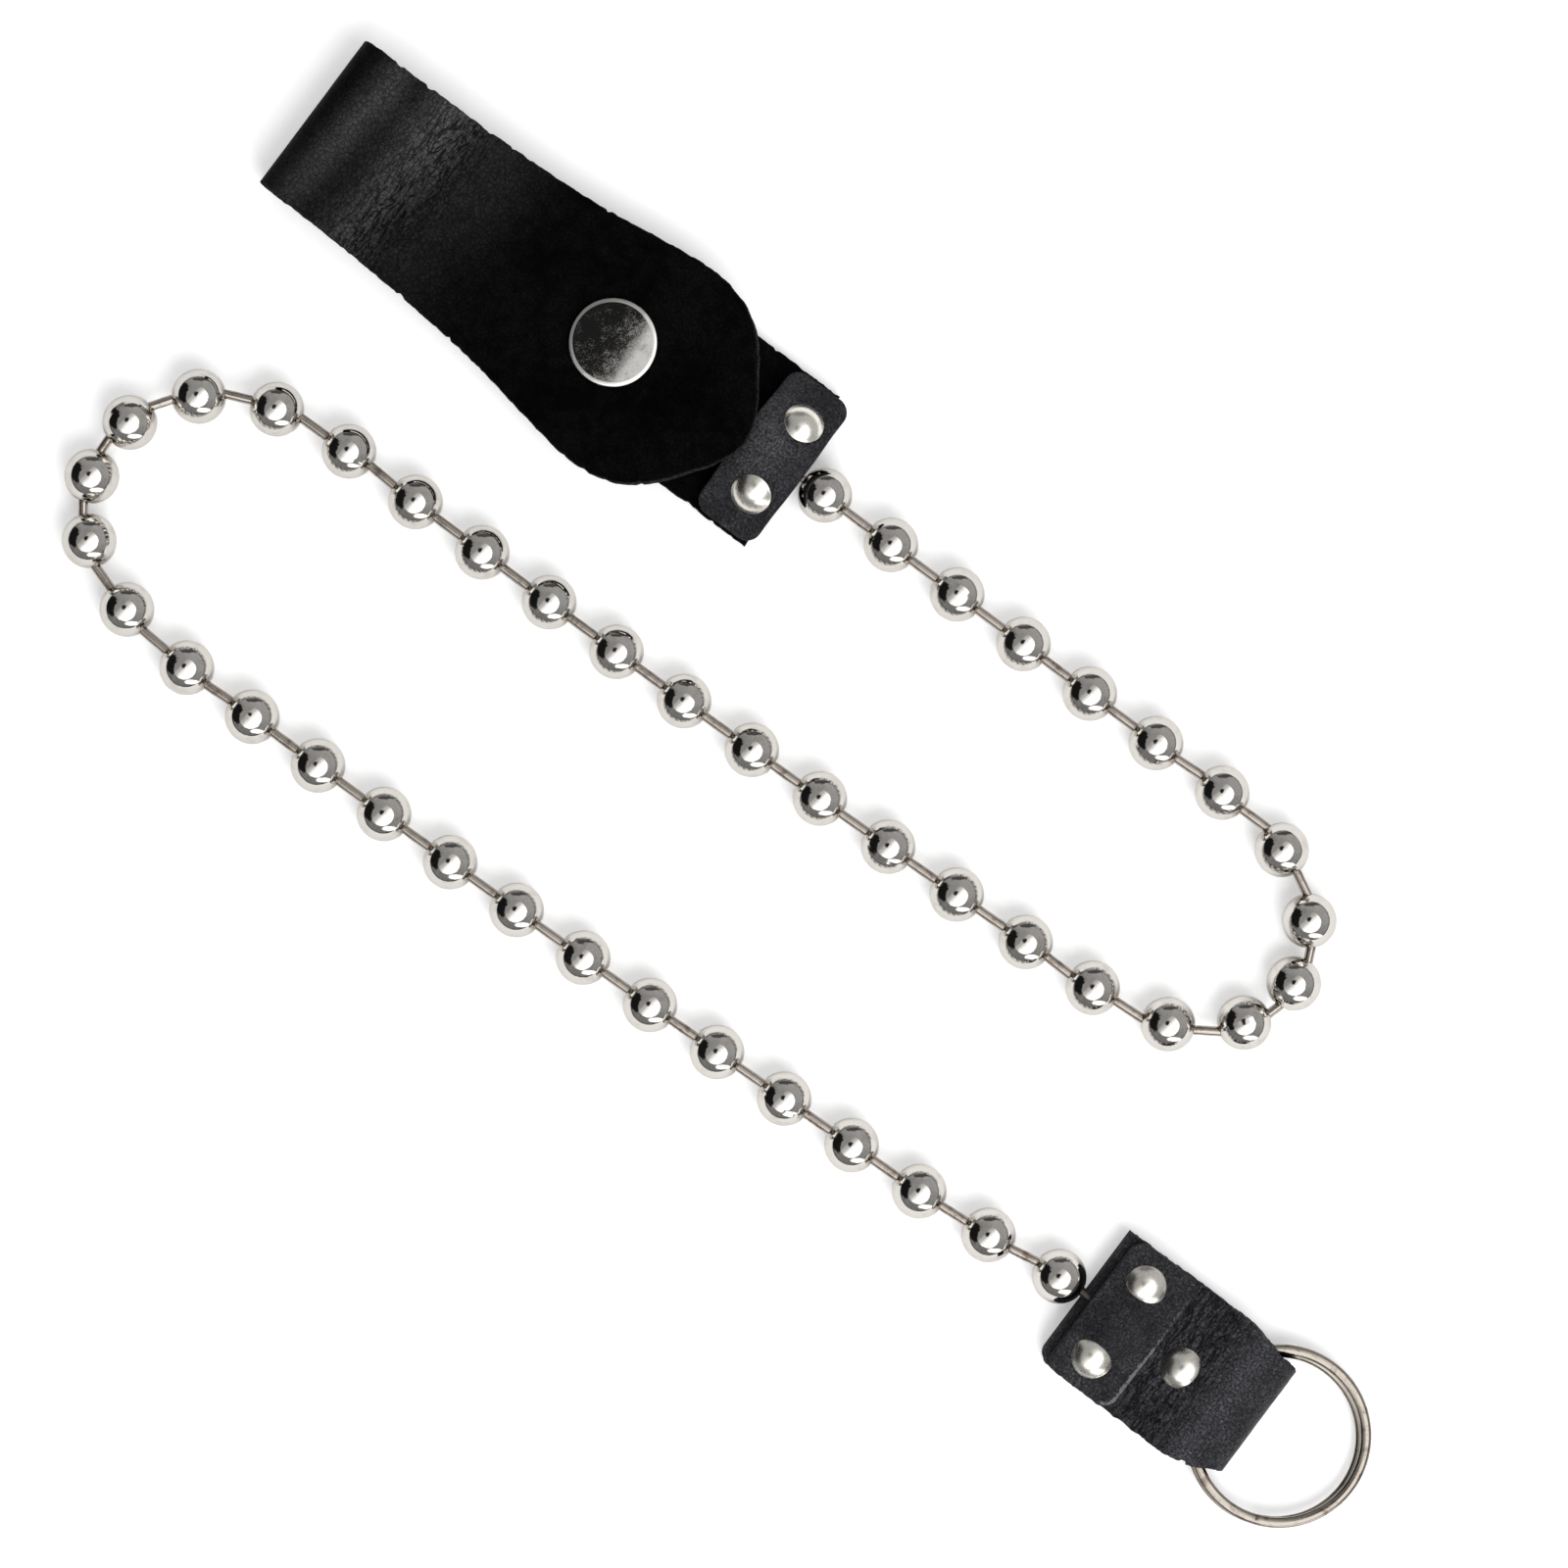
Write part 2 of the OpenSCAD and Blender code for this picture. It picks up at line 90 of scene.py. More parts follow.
class Value:
    """A socket in a node tree.  Arithmetic on it adds Math nodes."""

    def __init__(self, graph, socket):
        self.graph = graph
        self.socket = socket

    def math(self, operation, *others):
        inputs = dict(enumerate((self,) + others))
        return self.graph.add("ShaderNodeMath", {"operation": operation}, inputs)

    def after(self, operation, first):
        return self.graph.add("ShaderNodeMath", {"operation": operation}, {0: first, 1: self})

    def __add__(self, other):
        return self.math("ADD", other)

    def __sub__(self, other):
        return self.math("SUBTRACT", other)

    def __mul__(self, other):
        return self.math("MULTIPLY", other)

    def __truediv__(self, other):
        return self.math("DIVIDE", other)

    def __pow__(self, other):
        return self.math("POWER", other)

    def __rsub__(self, other):
        return self.after("SUBTRACT", other)

    def __rtruediv__(self, other):
        return self.after("DIVIDE", other)

    __radd__ = __add__
    __rmul__ = __mul__

    def ramp(self, low, high, to_low=0.0, to_high=1.0):
        """This value, from low to high, carried smoothly to the range from to_low to to_high."""
        inputs = {0: self, 1: low, 2: high, 3: to_low, 4: to_high}
        return self.graph.add("ShaderNodeMapRange", {"interpolation_type": "SMOOTHSTEP"}, inputs)

    def part(self, index):
        """X, Y or Z of a vector, by its number."""
        return self.graph.add("ShaderNodeSeparateXYZ", {}, {0: self}, index)


class Graph:
    """A node tree that is being built."""

    def __init__(self, tree):
        self.tree = tree
        tree.nodes.clear()

    def add(self, kind, settings, inputs, out=0):
        """A new node: its settings, then the values or links of its sockets.  Gives its output, if any."""
        node = self.tree.nodes.new(kind)
        for key, value in settings.items():
            setattr(node, key, value)
        for key, value in inputs.items():
            for one in value if isinstance(value, list) else [value]:
                if isinstance(one, Value):
                    self.tree.links.new(one.socket, node.inputs[key])
                else:
                    node.inputs[key].default_value = one
        return Value(self, node.outputs[out]) if len(node.outputs) else None

    def named(self, kind, **sockets):
        """A node without settings.  In its sockets' names _ stands for a space."""
        return self.add(kind, {}, {key.replace("_", " "): value for key, value in sockets.items()})

    def shape(self, kind, **sockets):
        """A geometry node without settings."""
        return self.named("GeometryNode" + kind, **sockets)

    def ray(self, kind):
        """1 for rays of this kind: Camera, Glossy or Transmission."""
        return self.add("ShaderNodeLightPath", {}, {}, "Is " + kind + " Ray")

    def blend(self, share, a, b):
        """Colour a, blended with colour b by share."""
        a, b = [c if isinstance(c, Value) else (*c, 1) for c in (a, b)]
        return self.add("ShaderNodeMix", {"data_type": "RGBA"}, {0: share, 6: a, 7: b}, 2)

    def vector(self, operation, a, b):
        return self.add("ShaderNodeVectorMath", {"operation": operation}, {0: a, 1: b})

    def combine(self, x, y, z):
        return self.add("ShaderNodeCombineXYZ", {}, {0: x, 1: y, 2: z})

    def noise(self, place, size, detail, rough=0.5, stretch=None, warp=0.0):
        """Noise from 0 to 1, with waves about as long as size."""
        if stretch:
            place = self.vector("MULTIPLY", place, stretch)
        return self.named("ShaderNodeTexNoise", Vector=place, Scale=1 / size, Detail=detail,
                          Roughness=rough, Distortion=warp)

    def cells(self, place, size, feature="F1"):
        """Distance to the middles or edges of random cells about as wide as size."""
        return self.add("ShaderNodeTexVoronoi", {"feature": feature}, {"Vector": place, "Scale": 1 / size})

    def bump(self, height, depth):
        """Normal of a surface with relief: height from 0 to 1 is depth metres."""
        return self.named("ShaderNodeBump", Height=height, Distance=depth, Strength=1.0)


def finish(name):
    """A new material, its graph and its Object coordinates."""
    material = bpy.data.materials.new(name)
    material.use_nodes = True
    graph = Graph(material.node_tree)
    return material, graph, graph.add("ShaderNodeTexCoord", {}, {}, "Object")


def surface(graph, **sockets):
    """Ends the graph in a Principled shader with these sockets."""
    graph.named("ShaderNodeOutputMaterial", Surface=graph.named("ShaderNodeBsdfPrincipled", **sockets))


# ---------------------------------------------------------------- finishes

def leather(name, dark, light, shine, specular, grain=0.42 * MM, worn=(0.13, 0.13, 0.13), relief=0.13 * MM,
            base=0.1, speckle=1.3):
    """Dyed cowhide: pebbled grain on its face, rough fibres on its cut edge, and worn rims.

    The piece's attributes say where it is cut, rim and crease, and its lightness with a painted sheen.  base
    is the lightness of its plain face, and speckle is how strongly fine grit breaks up that lightness and
    painted sheen.
    Wrinkles in a crease are darkened with painted shade.
    """
    material, g, at = finish(name)
    cut, rim, crease, gloss = [g.add("ShaderNodeAttribute", {"attribute_name": layer}, {}, "Fac")
                               for layer in ("cut", "rim", "crease", "gloss")]
    drift = g.noise(at, 2.5 * MM, 3.0, 0.6)
    cloud = g.noise(at, 14 * MM, 3.0, 0.55)
    wander = g.add("ShaderNodeTexNoise", {}, {"Vector": at, "Scale": 1 / (1.1 * MM), "Detail": 2.0}, 1)
    warped = g.vector("ADD", at, g.vector("MULTIPLY", wander, (grain, grain, grain)))
    pebble = g.cells(warped, grain * 1.3, "SMOOTH_F1")
    groove = g.cells(warped, grain * 2.1, "DISTANCE_TO_EDGE").ramp(0.0, 0.18, 1.0, 0.0)
    grit = g.noise(at, 0.42 * MM, 3.0, 0.7).ramp(0.38, 0.64)
    pore = g.cells(at, grain * 3.2).ramp(0.0, 0.2, 1.0, 0.0)
    lines = g.noise(at, 2.0 * MM, 2.0, 0.55, (1.9, 0.45, 1.0), 0.8)
    wrinkle = (lines - 0.5).math("ABSOLUTE").ramp(0.0, 0.07, 1.0, 0.0) * crease
    fibre = g.noise(at, 0.22 * MM, 4.0, 0.75, (1, 1, 0.35))
    face = 1 - cut
    height = grit * 0.45 + drift * 0.5 - pebble * 0.4 - groove * 0.35 - pore * 0.3 - wrinkle * 1.3
    normal = g.bump(height * face + fibre * cut * 1.6, relief)
    mottle = (cloud * 0.5 + drift * 0.5).ramp(0.32, 0.68)
    # Painted sheen: the sheen attribute lightens the colour of the face where it would shine, besides
    # lowering roughness.
    bright = (gloss * (mottle * 0.3 + 0.75) + mottle * base) * (grit * speckle + 1 - speckle * 0.55)
    bright = bright * (1 - groove * 0.5)
    tone = g.blend(bright.math("MINIMUM", 1.0), dark, light)
    # Painted shade: the lines of wrinkles are darkened in colour, as shade in the creases.
    tone = g.blend(wrinkle * 0.85, tone, tuple(c * 0.4 for c in dark))
    tone = g.blend((rim * (cloud + grit * 0.5)).ramp(0.3, 0.9) * face, tone, worn)
    fuzz = g.blend(fibre.ramp(0.4, 0.75), tuple(c * 0.5 for c in dark), tuple(c * 0.6 + 0.01 for c in light))
    tone = g.blend(cut, tone, fuzz)
    rough = shine - mottle * 0.06 + groove * 0.1 - gloss * 0.08 + cut * 0.3 + wrinkle * 0.15
    surface(g, Base_Color=tone, Roughness=rough, Normal=normal, Specular_IOR_Level=specular)
    return material


def plate(name, colour, stain, rough, scratch=0.5, pits=0.0, tarnish=0.25, scuff=0.0, waves=0.6):
    """Nickel plating: soft stains, hairline scratches, a few pits, dull scuffs and gentle waves."""
    material, g, at = finish(name)
    cloud = g.noise(at, 2.2 * MM, 4.0, 0.6)
    speck = g.noise(at, 0.35 * MM, 3.0, 0.7)
    lines = g.noise(at, 0.5 * MM, 3.0, 0.6, (9.0, 0.6, 1.0), 0.6)
    cross = g.noise(at, 0.5 * MM, 3.0, 0.6, (0.7, 8.0, 1.0), 0.8)
    hair = lines.ramp(0.6, 0.72) + cross.ramp(0.62, 0.74)
    pit = g.cells(at, 0.9 * MM).ramp(0.04, 0.13, 1.0, 0.0) * speck.ramp(0.45, 0.6)
    age = cloud.ramp(0.48, 0.72) * tarnish + speck.ramp(0.62, 0.78) * 0.35 * tarnish + pit * pits
    tone = g.blend(age, colour, stain)
    dull = rough + cloud * 0.06 + cloud.ramp(0.46, 0.62) * speck.ramp(0.4, 0.6) * scuff
    dull = dull + hair * 0.12 * scratch + speck.ramp(0.55, 0.8) * 0.1 * tarnish + pit * 0.2 * pits
    normal = g.bump(cloud * waves + speck * 0.06 + hair * -0.03 * scratch - pit * 0.35 * pits, 0.03 * MM)
    surface(g, Base_Color=tone, Metallic=1.0, Roughness=dull, Normal=normal,
            Specular_Tint=(0.82, 0.8, 0.77, 1))
    return material


CHARCOAL = (0.003, 0.003, 0.004)
STRAP = leather("black strap leather", (0.0005, 0.0005, 0.0006), (0.105, 0.102, 0.106), 0.46, 0.016,
                worn=(0.11, 0.11, 0.11), base=0.03, speckle=0.6)
PATCH = leather("charcoal patch leather", CHARCOAL, (0.085, 0.085, 0.092), 0.4, 0.12, grain=0.36 * MM)
FOB = leather("charcoal fob leather", CHARCOAL, (0.085, 0.086, 0.095), 0.4, 0.12,
              grain=0.38 * MM, relief=0.16 * MM)
BALL = plate("polished nickel balls", (0.66, 0.635, 0.6), (0.3, 0.25, 0.2), 0.035, scratch=0.4, pits=0.1)
PIN = plate("nickel chain pins", (0.42, 0.375, 0.335), (0.12, 0.085, 0.06), 0.16,
            scratch=0.8, pits=0.2, tarnish=0.8)
# The last pin, half hidden under the fob's edge, is darkened all over as painted shade.
SHADE_DARKENED_PIN = plate("tarnished chain pin", (0.06, 0.05, 0.045), (0.02, 0.015, 0.012), 0.3)
RIVET = plate("satin nickel rivets", (0.92, 0.89, 0.82), (0.42, 0.36, 0.29), 0.23,
              scratch=0.8, pits=0.9, tarnish=0.4)
SNAP = plate("polished snap cap", (0.5, 0.49, 0.47), (0.2, 0.19, 0.18), 0.02,
             pits=0.15, tarnish=0.2, scuff=0.1, waves=0.03)
SNAP_INSIDE = plate("nickel snap parts", (0.62, 0.6, 0.56), (0.3, 0.27, 0.22), 0.22,
                    scratch=0.8, pits=0.2, tarnish=0.4)
RING = plate("nickel split ring", (0.36, 0.325, 0.285), (0.12, 0.075, 0.06), 0.1,
             scratch=0.9, pits=0.2, tarnish=0.7)


# ---------------------------------------------------------------- reading the frame

def corners(node):
    """Vertices of a CAD node, one row each."""
    mesh = frame["nodes"][node].data
    points = np.empty(len(mesh.vertices) * 3)
    mesh.vertices.foreach_get("co", points)
    return points.reshape(-1, 3)


def rays_of(node):
    """A search tree of a CAD node's faces, for rays."""
    mesh = frame["nodes"][node].data
    return BVHTree.FromPolygons([v.co for v in mesh.vertices], [tuple(p.vertices) for p in mesh.polygons])


def thickness(rays, x, y):
    """Lowest and highest Z of a node on the upright line through x, y, or None off it."""
    top = rays.ray_cast(Vector((x, y, 1)), Vector((0, 0, -1)))[0]
    low = rays.ray_cast(Vector((x, y, -1)), Vector((0, 0, 1)))[0]
    return None if top is None else (low.z, top.z)


def width(rays, x, z):
    """Lowest and highest Y of a node on the level line through x, z, or None off it."""
    high = rays.ray_cast(Vector((x, 1, z)), Vector((0, -1, 0)))[0]
    low = rays.ray_cast(Vector((x, -1, z)), Vector((0, 1, 0)))[0]
    return None if high is None else (low.y, high.y)


def ball_centre(node):
    """Centre of the ball in a node: a circle fitted to the top of its shell."""
    points = corners(node)
    top = points[:, 2].max()
    radius = top / 2
    cap = points[points[:, 2] > top - 0.3 * MM]
    squares = cap[:, 0] ** 2 + cap[:, 1] ** 2 + (cap[:, 2] - radius) ** 2 - radius ** 2
    sides = np.column_stack((2 * cap[:, 0], 2 * cap[:, 1], np.ones(len(cap))))
    found = np.linalg.lstsq(sides, squares, rcond=None)[0]
    return Vector((found[0], found[1], radius))


def islands(node):
    """Vertices of each separate solid of a node."""
    mesh = frame["nodes"][node].data
    points = corners(node)
    same_place = 0.001 * MM
    keys = np.unique(np.round(points / same_place).astype(np.int64), axis=0, return_inverse=True)[1].ravel()
    parent = list(range(keys.max() + 1))

    def root(i):
        while parent[i] != i:
            parent[i] = parent[parent[i]]
            i = parent[i]
        return i

    for face in mesh.polygons:
        first, *rest = [root(keys[v]) for v in face.vertices]
        for other in rest:
            parent[root(other)] = root(first)
    owner = np.array([root(k) for k in keys])
    return [points[owner == o] for o in np.unique(owner)]


def smooth(t):
    """0 below 0, 1 above 1, and a smooth rise between."""
    t = np.clip(t, 0, 1)
    return t * t * (3 - 2 * t)


def ripple(x, y, size, seed, octaves=3):
    """Smooth noise, about -1 to 1, at each place."""
    x, y = np.broadcast_arrays(x, y)
    places = [Vector((a / size, b / size, seed)) for a, b in zip(x.ravel(), y.ravel())]
    flat = [noise.fractal(place, 0.7, 2.0, octaves) for place in places]
    return np.array(flat).reshape(x.shape)


# ---------------------------------------------------------------- leather pieces

# Width of a skin's rounded rim, and places across it
RIM = 0.45 * MM
RIM_PLACES = np.array([0, 0.012, 0.05, 0.13, 0.25, 0.4, 0.6]) * MM
# Radius of the patches' and the fob's corners, and places round such a corner
CORNER_R = 2.8 * MM
CORNER_PLACES = np.array([0.9, 1.3, 1.8, 2.4]) * MM
# Spacing of the points of a patch
PATCH_STEP = 0.42 * MM


def clustered(length, step):
    """Places from 0 to length, step apart, and closer together by both ends."""
    inner = np.linspace(RIM_PLACES[-1] + step, length - RIM_PLACES[-1] - step, max(4, int(length / step)))
    return np.concatenate((RIM_PLACES, inner, length - RIM_PLACES[::-1]))


def nibbled(s, fray, seed):
    """How far a rough cut edge lies inside its line: fine fray, slow waves, and a few chips."""
    fine = np.abs(ripple(s, 0 * s, 0.8 * MM, seed, 2))
    slow = np.abs(ripple(s, 0 * s, 4.0 * MM, seed + 1, 2))
    chips = smooth((ripple(s, 0 * s, 2.2 * MM, seed + 2, 2) - 0.35) / 0.12)
    return (fine + slow * 1.4 + chips * 1.5) * fray


def hide(name, s, low, high, place, thick, relief, marks, step, fray, seed, ends=None):
    """A piece of leather with cut edges.

    s holds places along it, low and high its lower and upper edge across it at each.
    place(s, y, h) gives points, h off its middle.  relief adds height to its face, and marks gives its
    creases, lightness with painted sheen, and wear.  fray is how rough its edges are, and ends moves its
    places along it.
    """
    wide = (high - low).max()
    across = clustered(wide, step) / wide
    low = low + nibbled(s, fray, seed)
    high = high - nibbled(s, fray, seed + 5)
    s_grid, share = np.meshgrid(s, across, indexing="ij")
    y_grid = low[:, None] + (high - low)[:, None] * share
    slope = [1 / np.sqrt(1 + np.gradient(edge, s) ** 2)[:, None] for edge in (low, high)]
    off = np.minimum((y_grid - low[:, None]) * slope[0], (high[:, None] - y_grid) * slope[1])
    off = np.minimum(off, np.minimum(s_grid - s[0], s[-1] - s_grid))
    off[[0, -1], :] = 0
    off[:, [0, -1]] = 0
    if ends:
        s_grid = s_grid + ends(s_grid, y_grid)
    near = np.clip(off / RIM, 0, 1)
    squareness = 3.2
    rise = (1 - (1 - near) ** squareness) ** (1 / squareness) * thick / 2
    lift = relief(s_grid, y_grid) * smooth(off / (1.5 * MM))
    top = place(s_grid, y_grid, rise + lift)
    bottom = place(s_grid, y_grid, -rise)
    rows, columns = s_grid.shape
    index = np.arange(rows * columns).reshape(rows, columns)
    under = index + rows * columns
    border = np.zeros((rows, columns), bool)
    border[[0, -1], :] = True
    border[:, [0, -1]] = True
    under[border] = index[border]
    quads = []
    for grid, turn in ((index, 1), (under, -1)):
        corner = [grid[:-1, :-1], grid[1:, :-1], grid[1:, 1:], grid[:-1, 1:]][::turn]
        quads.append(np.stack([c.ravel() for c in corner], axis=1))
    points = np.concatenate((top.reshape(-1, 3), bottom.reshape(-1, 3)))
    cut = 1 - smooth(off / (RIM * 0.55))
    worn = smooth((off - RIM * 0.3) / (RIM * 0.4)) * (1 - smooth((off - RIM) / (0.9 * MM)))
    creased, painted_sheen_and_tone, rubbed = marks(s_grid, y_grid)
    plain = 0 * rise
    # The gloss layer is the face's lightness, with a painted sheen in it.
    layers = {"cut": (cut, cut), "rim": (worn * rubbed, plain), "crease": (creased, plain),
              "gloss": (painted_sheen_and_tone, plain)}
    return solid(name, points, np.concatenate(quads), layers)


def solid(name, points, quads, layers):
    """An object of these points and faces, without unused points.

    Each layer becomes an attribute: its values for the points of the face, then for those of the back.
    """
    used, quads = np.unique(quads, return_inverse=True)
    quads = quads.reshape(-1, 4)
    mesh = bpy.data.meshes.new(name)
    mesh.from_pydata(points[used].tolist(), [], quads.tolist())
    for key, pair in layers.items():
        values = np.concatenate([layer.ravel() for layer in pair])[used].astype(np.float32)
        mesh.attributes.new(key, "FLOAT", "POINT").data.foreach_set("value", values)
    outward = bmesh.new()
    outward.from_mesh(mesh)
    bmesh.ops.recalc_face_normals(outward, faces=outward.faces)
    outward.to_mesh(mesh)
    outward.free()
    mesh.shade_smooth()
    return in_scene(name, mesh)


def along(path, side):
    """Placing function of a skin that follows a path of (x, z) points, and the path's length at each.

    Its face is on the right of the path for side 1, and on the left for side -1.
    """
    path = np.array(path)
    lengths = np.concatenate(([0], np.cumsum(np.hypot(*np.diff(path, axis=0).T))))
    tangent = np.gradient(path, lengths, axis=0)
    tangent /= np.linalg.norm(tangent, axis=1)[:, None]

    def place(s, y, h):
        x, z, tx, tz = [np.interp(s, lengths, column) for column in (*path.T, *tangent.T)]
        size = np.hypot(tx, tz)
        return np.stack((x + h * tz / size * side, y, z - h * tx / size * side), axis=-1)

    return place, lengths


def eased(points, reach):
    """A line of points with its second coordinate averaged over reach points either way."""
    values = np.array([b for _, b in points])
    padded = np.concatenate((np.full(reach, values[0]), values, np.full(reach, values[-1])))
    window = np.hanning(2 * reach + 3)[1:-1]
    return [(a, v) for (a, _), v in zip(points, np.convolve(padded, window / window.sum(), "valid"))]


def fold_arc(x, z, radius, start, end):
    """Points of an arc about (x, z), from one angle to another in degrees."""
    steps = 24
    angles = [math.radians(start + (end - start) * i / steps) for i in range(steps + 1)]
    return [(x + radius * math.cos(a), z + radius * math.sin(a)) for a in angles]


base_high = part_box("strap_base")[1]
fold_low, fold_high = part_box("strap_fold")
STRAP_Y = (fold_low.y + fold_high.y) / 2
HALF = (fold_high.y - fold_low.y) / 2
FOLD_R = (fold_high.z - fold_low.z) / 2
FOLD_X = fold_high.x
STRAP_T = 2.4 * MM


def strap_piece():
    """The whole strap in one skin: lower layer, fold, and upper layer with its tongue."""
    base, flap = rays_of("strap_base"), rays_of("strap_flap")
    flap_points = corners("strap_flap")
    tip = flap_points[flap_points[:, 0].argmax()]
    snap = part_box("snap_socket")
    snap_x = (snap[0].x + snap[1].x) / 2
    snap_room = 3 * MM

    def centre_y(x):
        """Y of the upper layer's middle, which leans towards its tip."""
        return STRAP_Y + (tip[1] - STRAP_Y) * (x - fold_low.x) / (tip[0] - fold_low.x)

    clear_y = STRAP_Y + 12 * MM  # clear of the snap's stud and the rivets' posts
    lower = []
    for x in np.linspace(base_high.x - 0.02 * MM, FOLD_X + 0.02 * MM, 90):
        z = thickness(base, x, clear_y)
        lower.append((x, (z[0] + z[1]) / 2))
    lower[0] = (base_high.x, lower[0][1])
    arc = fold_arc(FOLD_X, fold_low.z + FOLD_R, FOLD_R - STRAP_T / 2, -90, -270)
    upper = []
    for x in np.linspace(FOLD_X + 0.3 * MM, tip[0] - 0.05 * MM, 120):
        z = thickness(flap, x, centre_y(x))
        if z and abs(x - snap_x) > snap_room:
            upper.append((x, (z[0] + z[1]) / 2))
    upper.append((tip[0], upper[-1][1] + (upper[-1][1] - upper[-2][1]) * 0.2))
    place, lengths = along(lower + arc[1:-1] + upper, -1)
    fold_start = lengths[len(lower) - 1]
    fold_end = lengths[len(lower) + len(arc) - 2]
    total = lengths[-1]

    nose = total - np.array([0.8, 1.1, 1.4, 1.7, 2.1, 2.5, 2.9, 3.3, 3.8]) * MM
    s = np.unique(np.concatenate((clustered(total, 0.6 * MM), nose)))
    edges = [(x, STRAP_Y - HALF, STRAP_Y + HALF) for x in (fold_low.x, FOLD_X)]
    for x in np.linspace(FOLD_X + 0.3 * MM, tip[0] - 0.04 * MM, 260):
        z = thickness(flap, x, centre_y(x))
        y = z and abs(x - snap_x) > snap_room and width(flap, x, (z[0] + z[1]) / 2)
        if y:
            edges.append((x, *y))
    edges.append((tip[0], tip[1] - 0.03 * MM, tip[1] + 0.03 * MM))
    edge_x, edge_low, edge_high = np.array(edges).T
    at_x = place(s, 0 * s, 0 * s)[:, 0]
    on_flap = s > fold_end
    low_edge = np.where(on_flap, np.interp(at_x, edge_x, edge_low), STRAP_Y - HALF)
    high_edge = np.where(on_flap, np.interp(at_x, edge_x, edge_high), STRAP_Y + HALF)

    def slant(s_grid, y_grid):
        """The cut end of the lower layer runs a little askew."""
        askew = 1.15 * MM + (y_grid - STRAP_Y) / HALF * 1.15 * MM
        askew = askew + ripple(y_grid, 0 * y_grid, 1.6 * MM, 4.0) * 0.15 * MM
        return np.maximum(askew, 0) * (1 - smooth(s_grid / (9 * MM)))

    def hump(u, middle, wide):
        """A round swelling about a middle; both sizes in millimetres."""
        return np.exp(-((u - middle * MM) / (wide * MM)) ** 2)

    def marks(s_grid, y_grid):
        u = s_grid - fold_end
        lean = u - (y_grid - STRAP_Y) * 0.1
        waves = ripple(s_grid, y_grid * 0.5, 5 * MM, 9.0)
        # Creases mark where wrinkles lie; the leather darkens their lines with painted shade.
        creased = hump(lean, 16, 7.5)
        # Painted sheen: lighter bands across the upper layer by the fold, stronger towards one side, for
        # light the bent leather would catch.
        painted_sheen_and_tone = hump(lean, 1.5, 3.0) * 0.45 + hump(lean, 12.5, 5.0) * (0.65 + 0.2 * waves)
        painted_sheen_and_tone = painted_sheen_and_tone + hump(lean, 22, 9) * 0.16
        side = smooth((y_grid - STRAP_Y + 16 * MM) / (30 * MM))
        tongue = smooth((s_grid - total + 24 * MM) / (8 * MM))
        tongue = tongue * smooth((y_grid - STRAP_Y + 19 * MM) / (6 * MM))
        return creased, np.clip(painted_sheen_and_tone * (0.65 + 0.45 * side), 0, 1), 0.05 + 0.3 * tongue

    def relief(s_grid, y_grid):
        u = s_grid - fold_end
        lean = u - (y_grid - STRAP_Y) * 0.1
        soft = ripple(s_grid * 0.6, y_grid * 0.5, 9 * MM, 3.0)
        swell = hump(lean, 1.5, 3.5) * 0.25 - hump(lean, 6.5, 2.5) * 0.3 + hump(lean, 13, 5) * 0.2
        upper = smooth((s_grid - fold_start) / (fold_end - fold_start))
        return (swell + soft * 0.1) * MM * upper

    piece = hide("belt_strap_leather", s, low_edge, high_edge, place, STRAP_T, relief, marks,
                 step=0.62 * MM, fray=0.22 * MM, seed=1.0, ends=slant)
    piece.data.materials.append(STRAP)
    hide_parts("strap_base", "strap_fold", "strap_flap")
    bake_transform(piece)


def soft_min(a, b, blend):
    """The lower of two heights, with the corner between them rounded."""
    h = np.clip(0.5 + 0.5 * (b - a) / blend, 0, 1)
    return b + (a - b) * h - blend * h * (1 - h)


def draped(height):
    """Placing function of a skin that lies level on a height(x, y), which is its middle."""
    def place(x, y, h):
        d = 0.05 * MM
        gx = (height(x + d, y) - height(x - d, y)) / (2 * d)
        gy = (height(x, y + d) - height(x, y - d)) / (2 * d)
        size = np.sqrt(1 + gx ** 2 + gy ** 2)
        return np.stack((x - h * gx / size, y - h * gy / size, height(x, y) + h / size), axis=-1)

    return place


def patch_outline(low, high):
    """Places along a patch's box, and its lower and upper edge at each, with round corners."""
    s = clustered(high.x - low.x, PATCH_STEP) + low.x
    corner = low.x + CORNER_PLACES
    s = np.unique(np.concatenate((s, corner, low.x + high.x - corner)))
    end = np.minimum(s - s[0], s[-1] - s)
    pull = CORNER_R - np.sqrt(np.maximum(0, CORNER_R ** 2 - np.maximum(0, CORNER_R - end) ** 2))
    return s, 0 * s + low.y + pull, 0 * s + high.y - pull


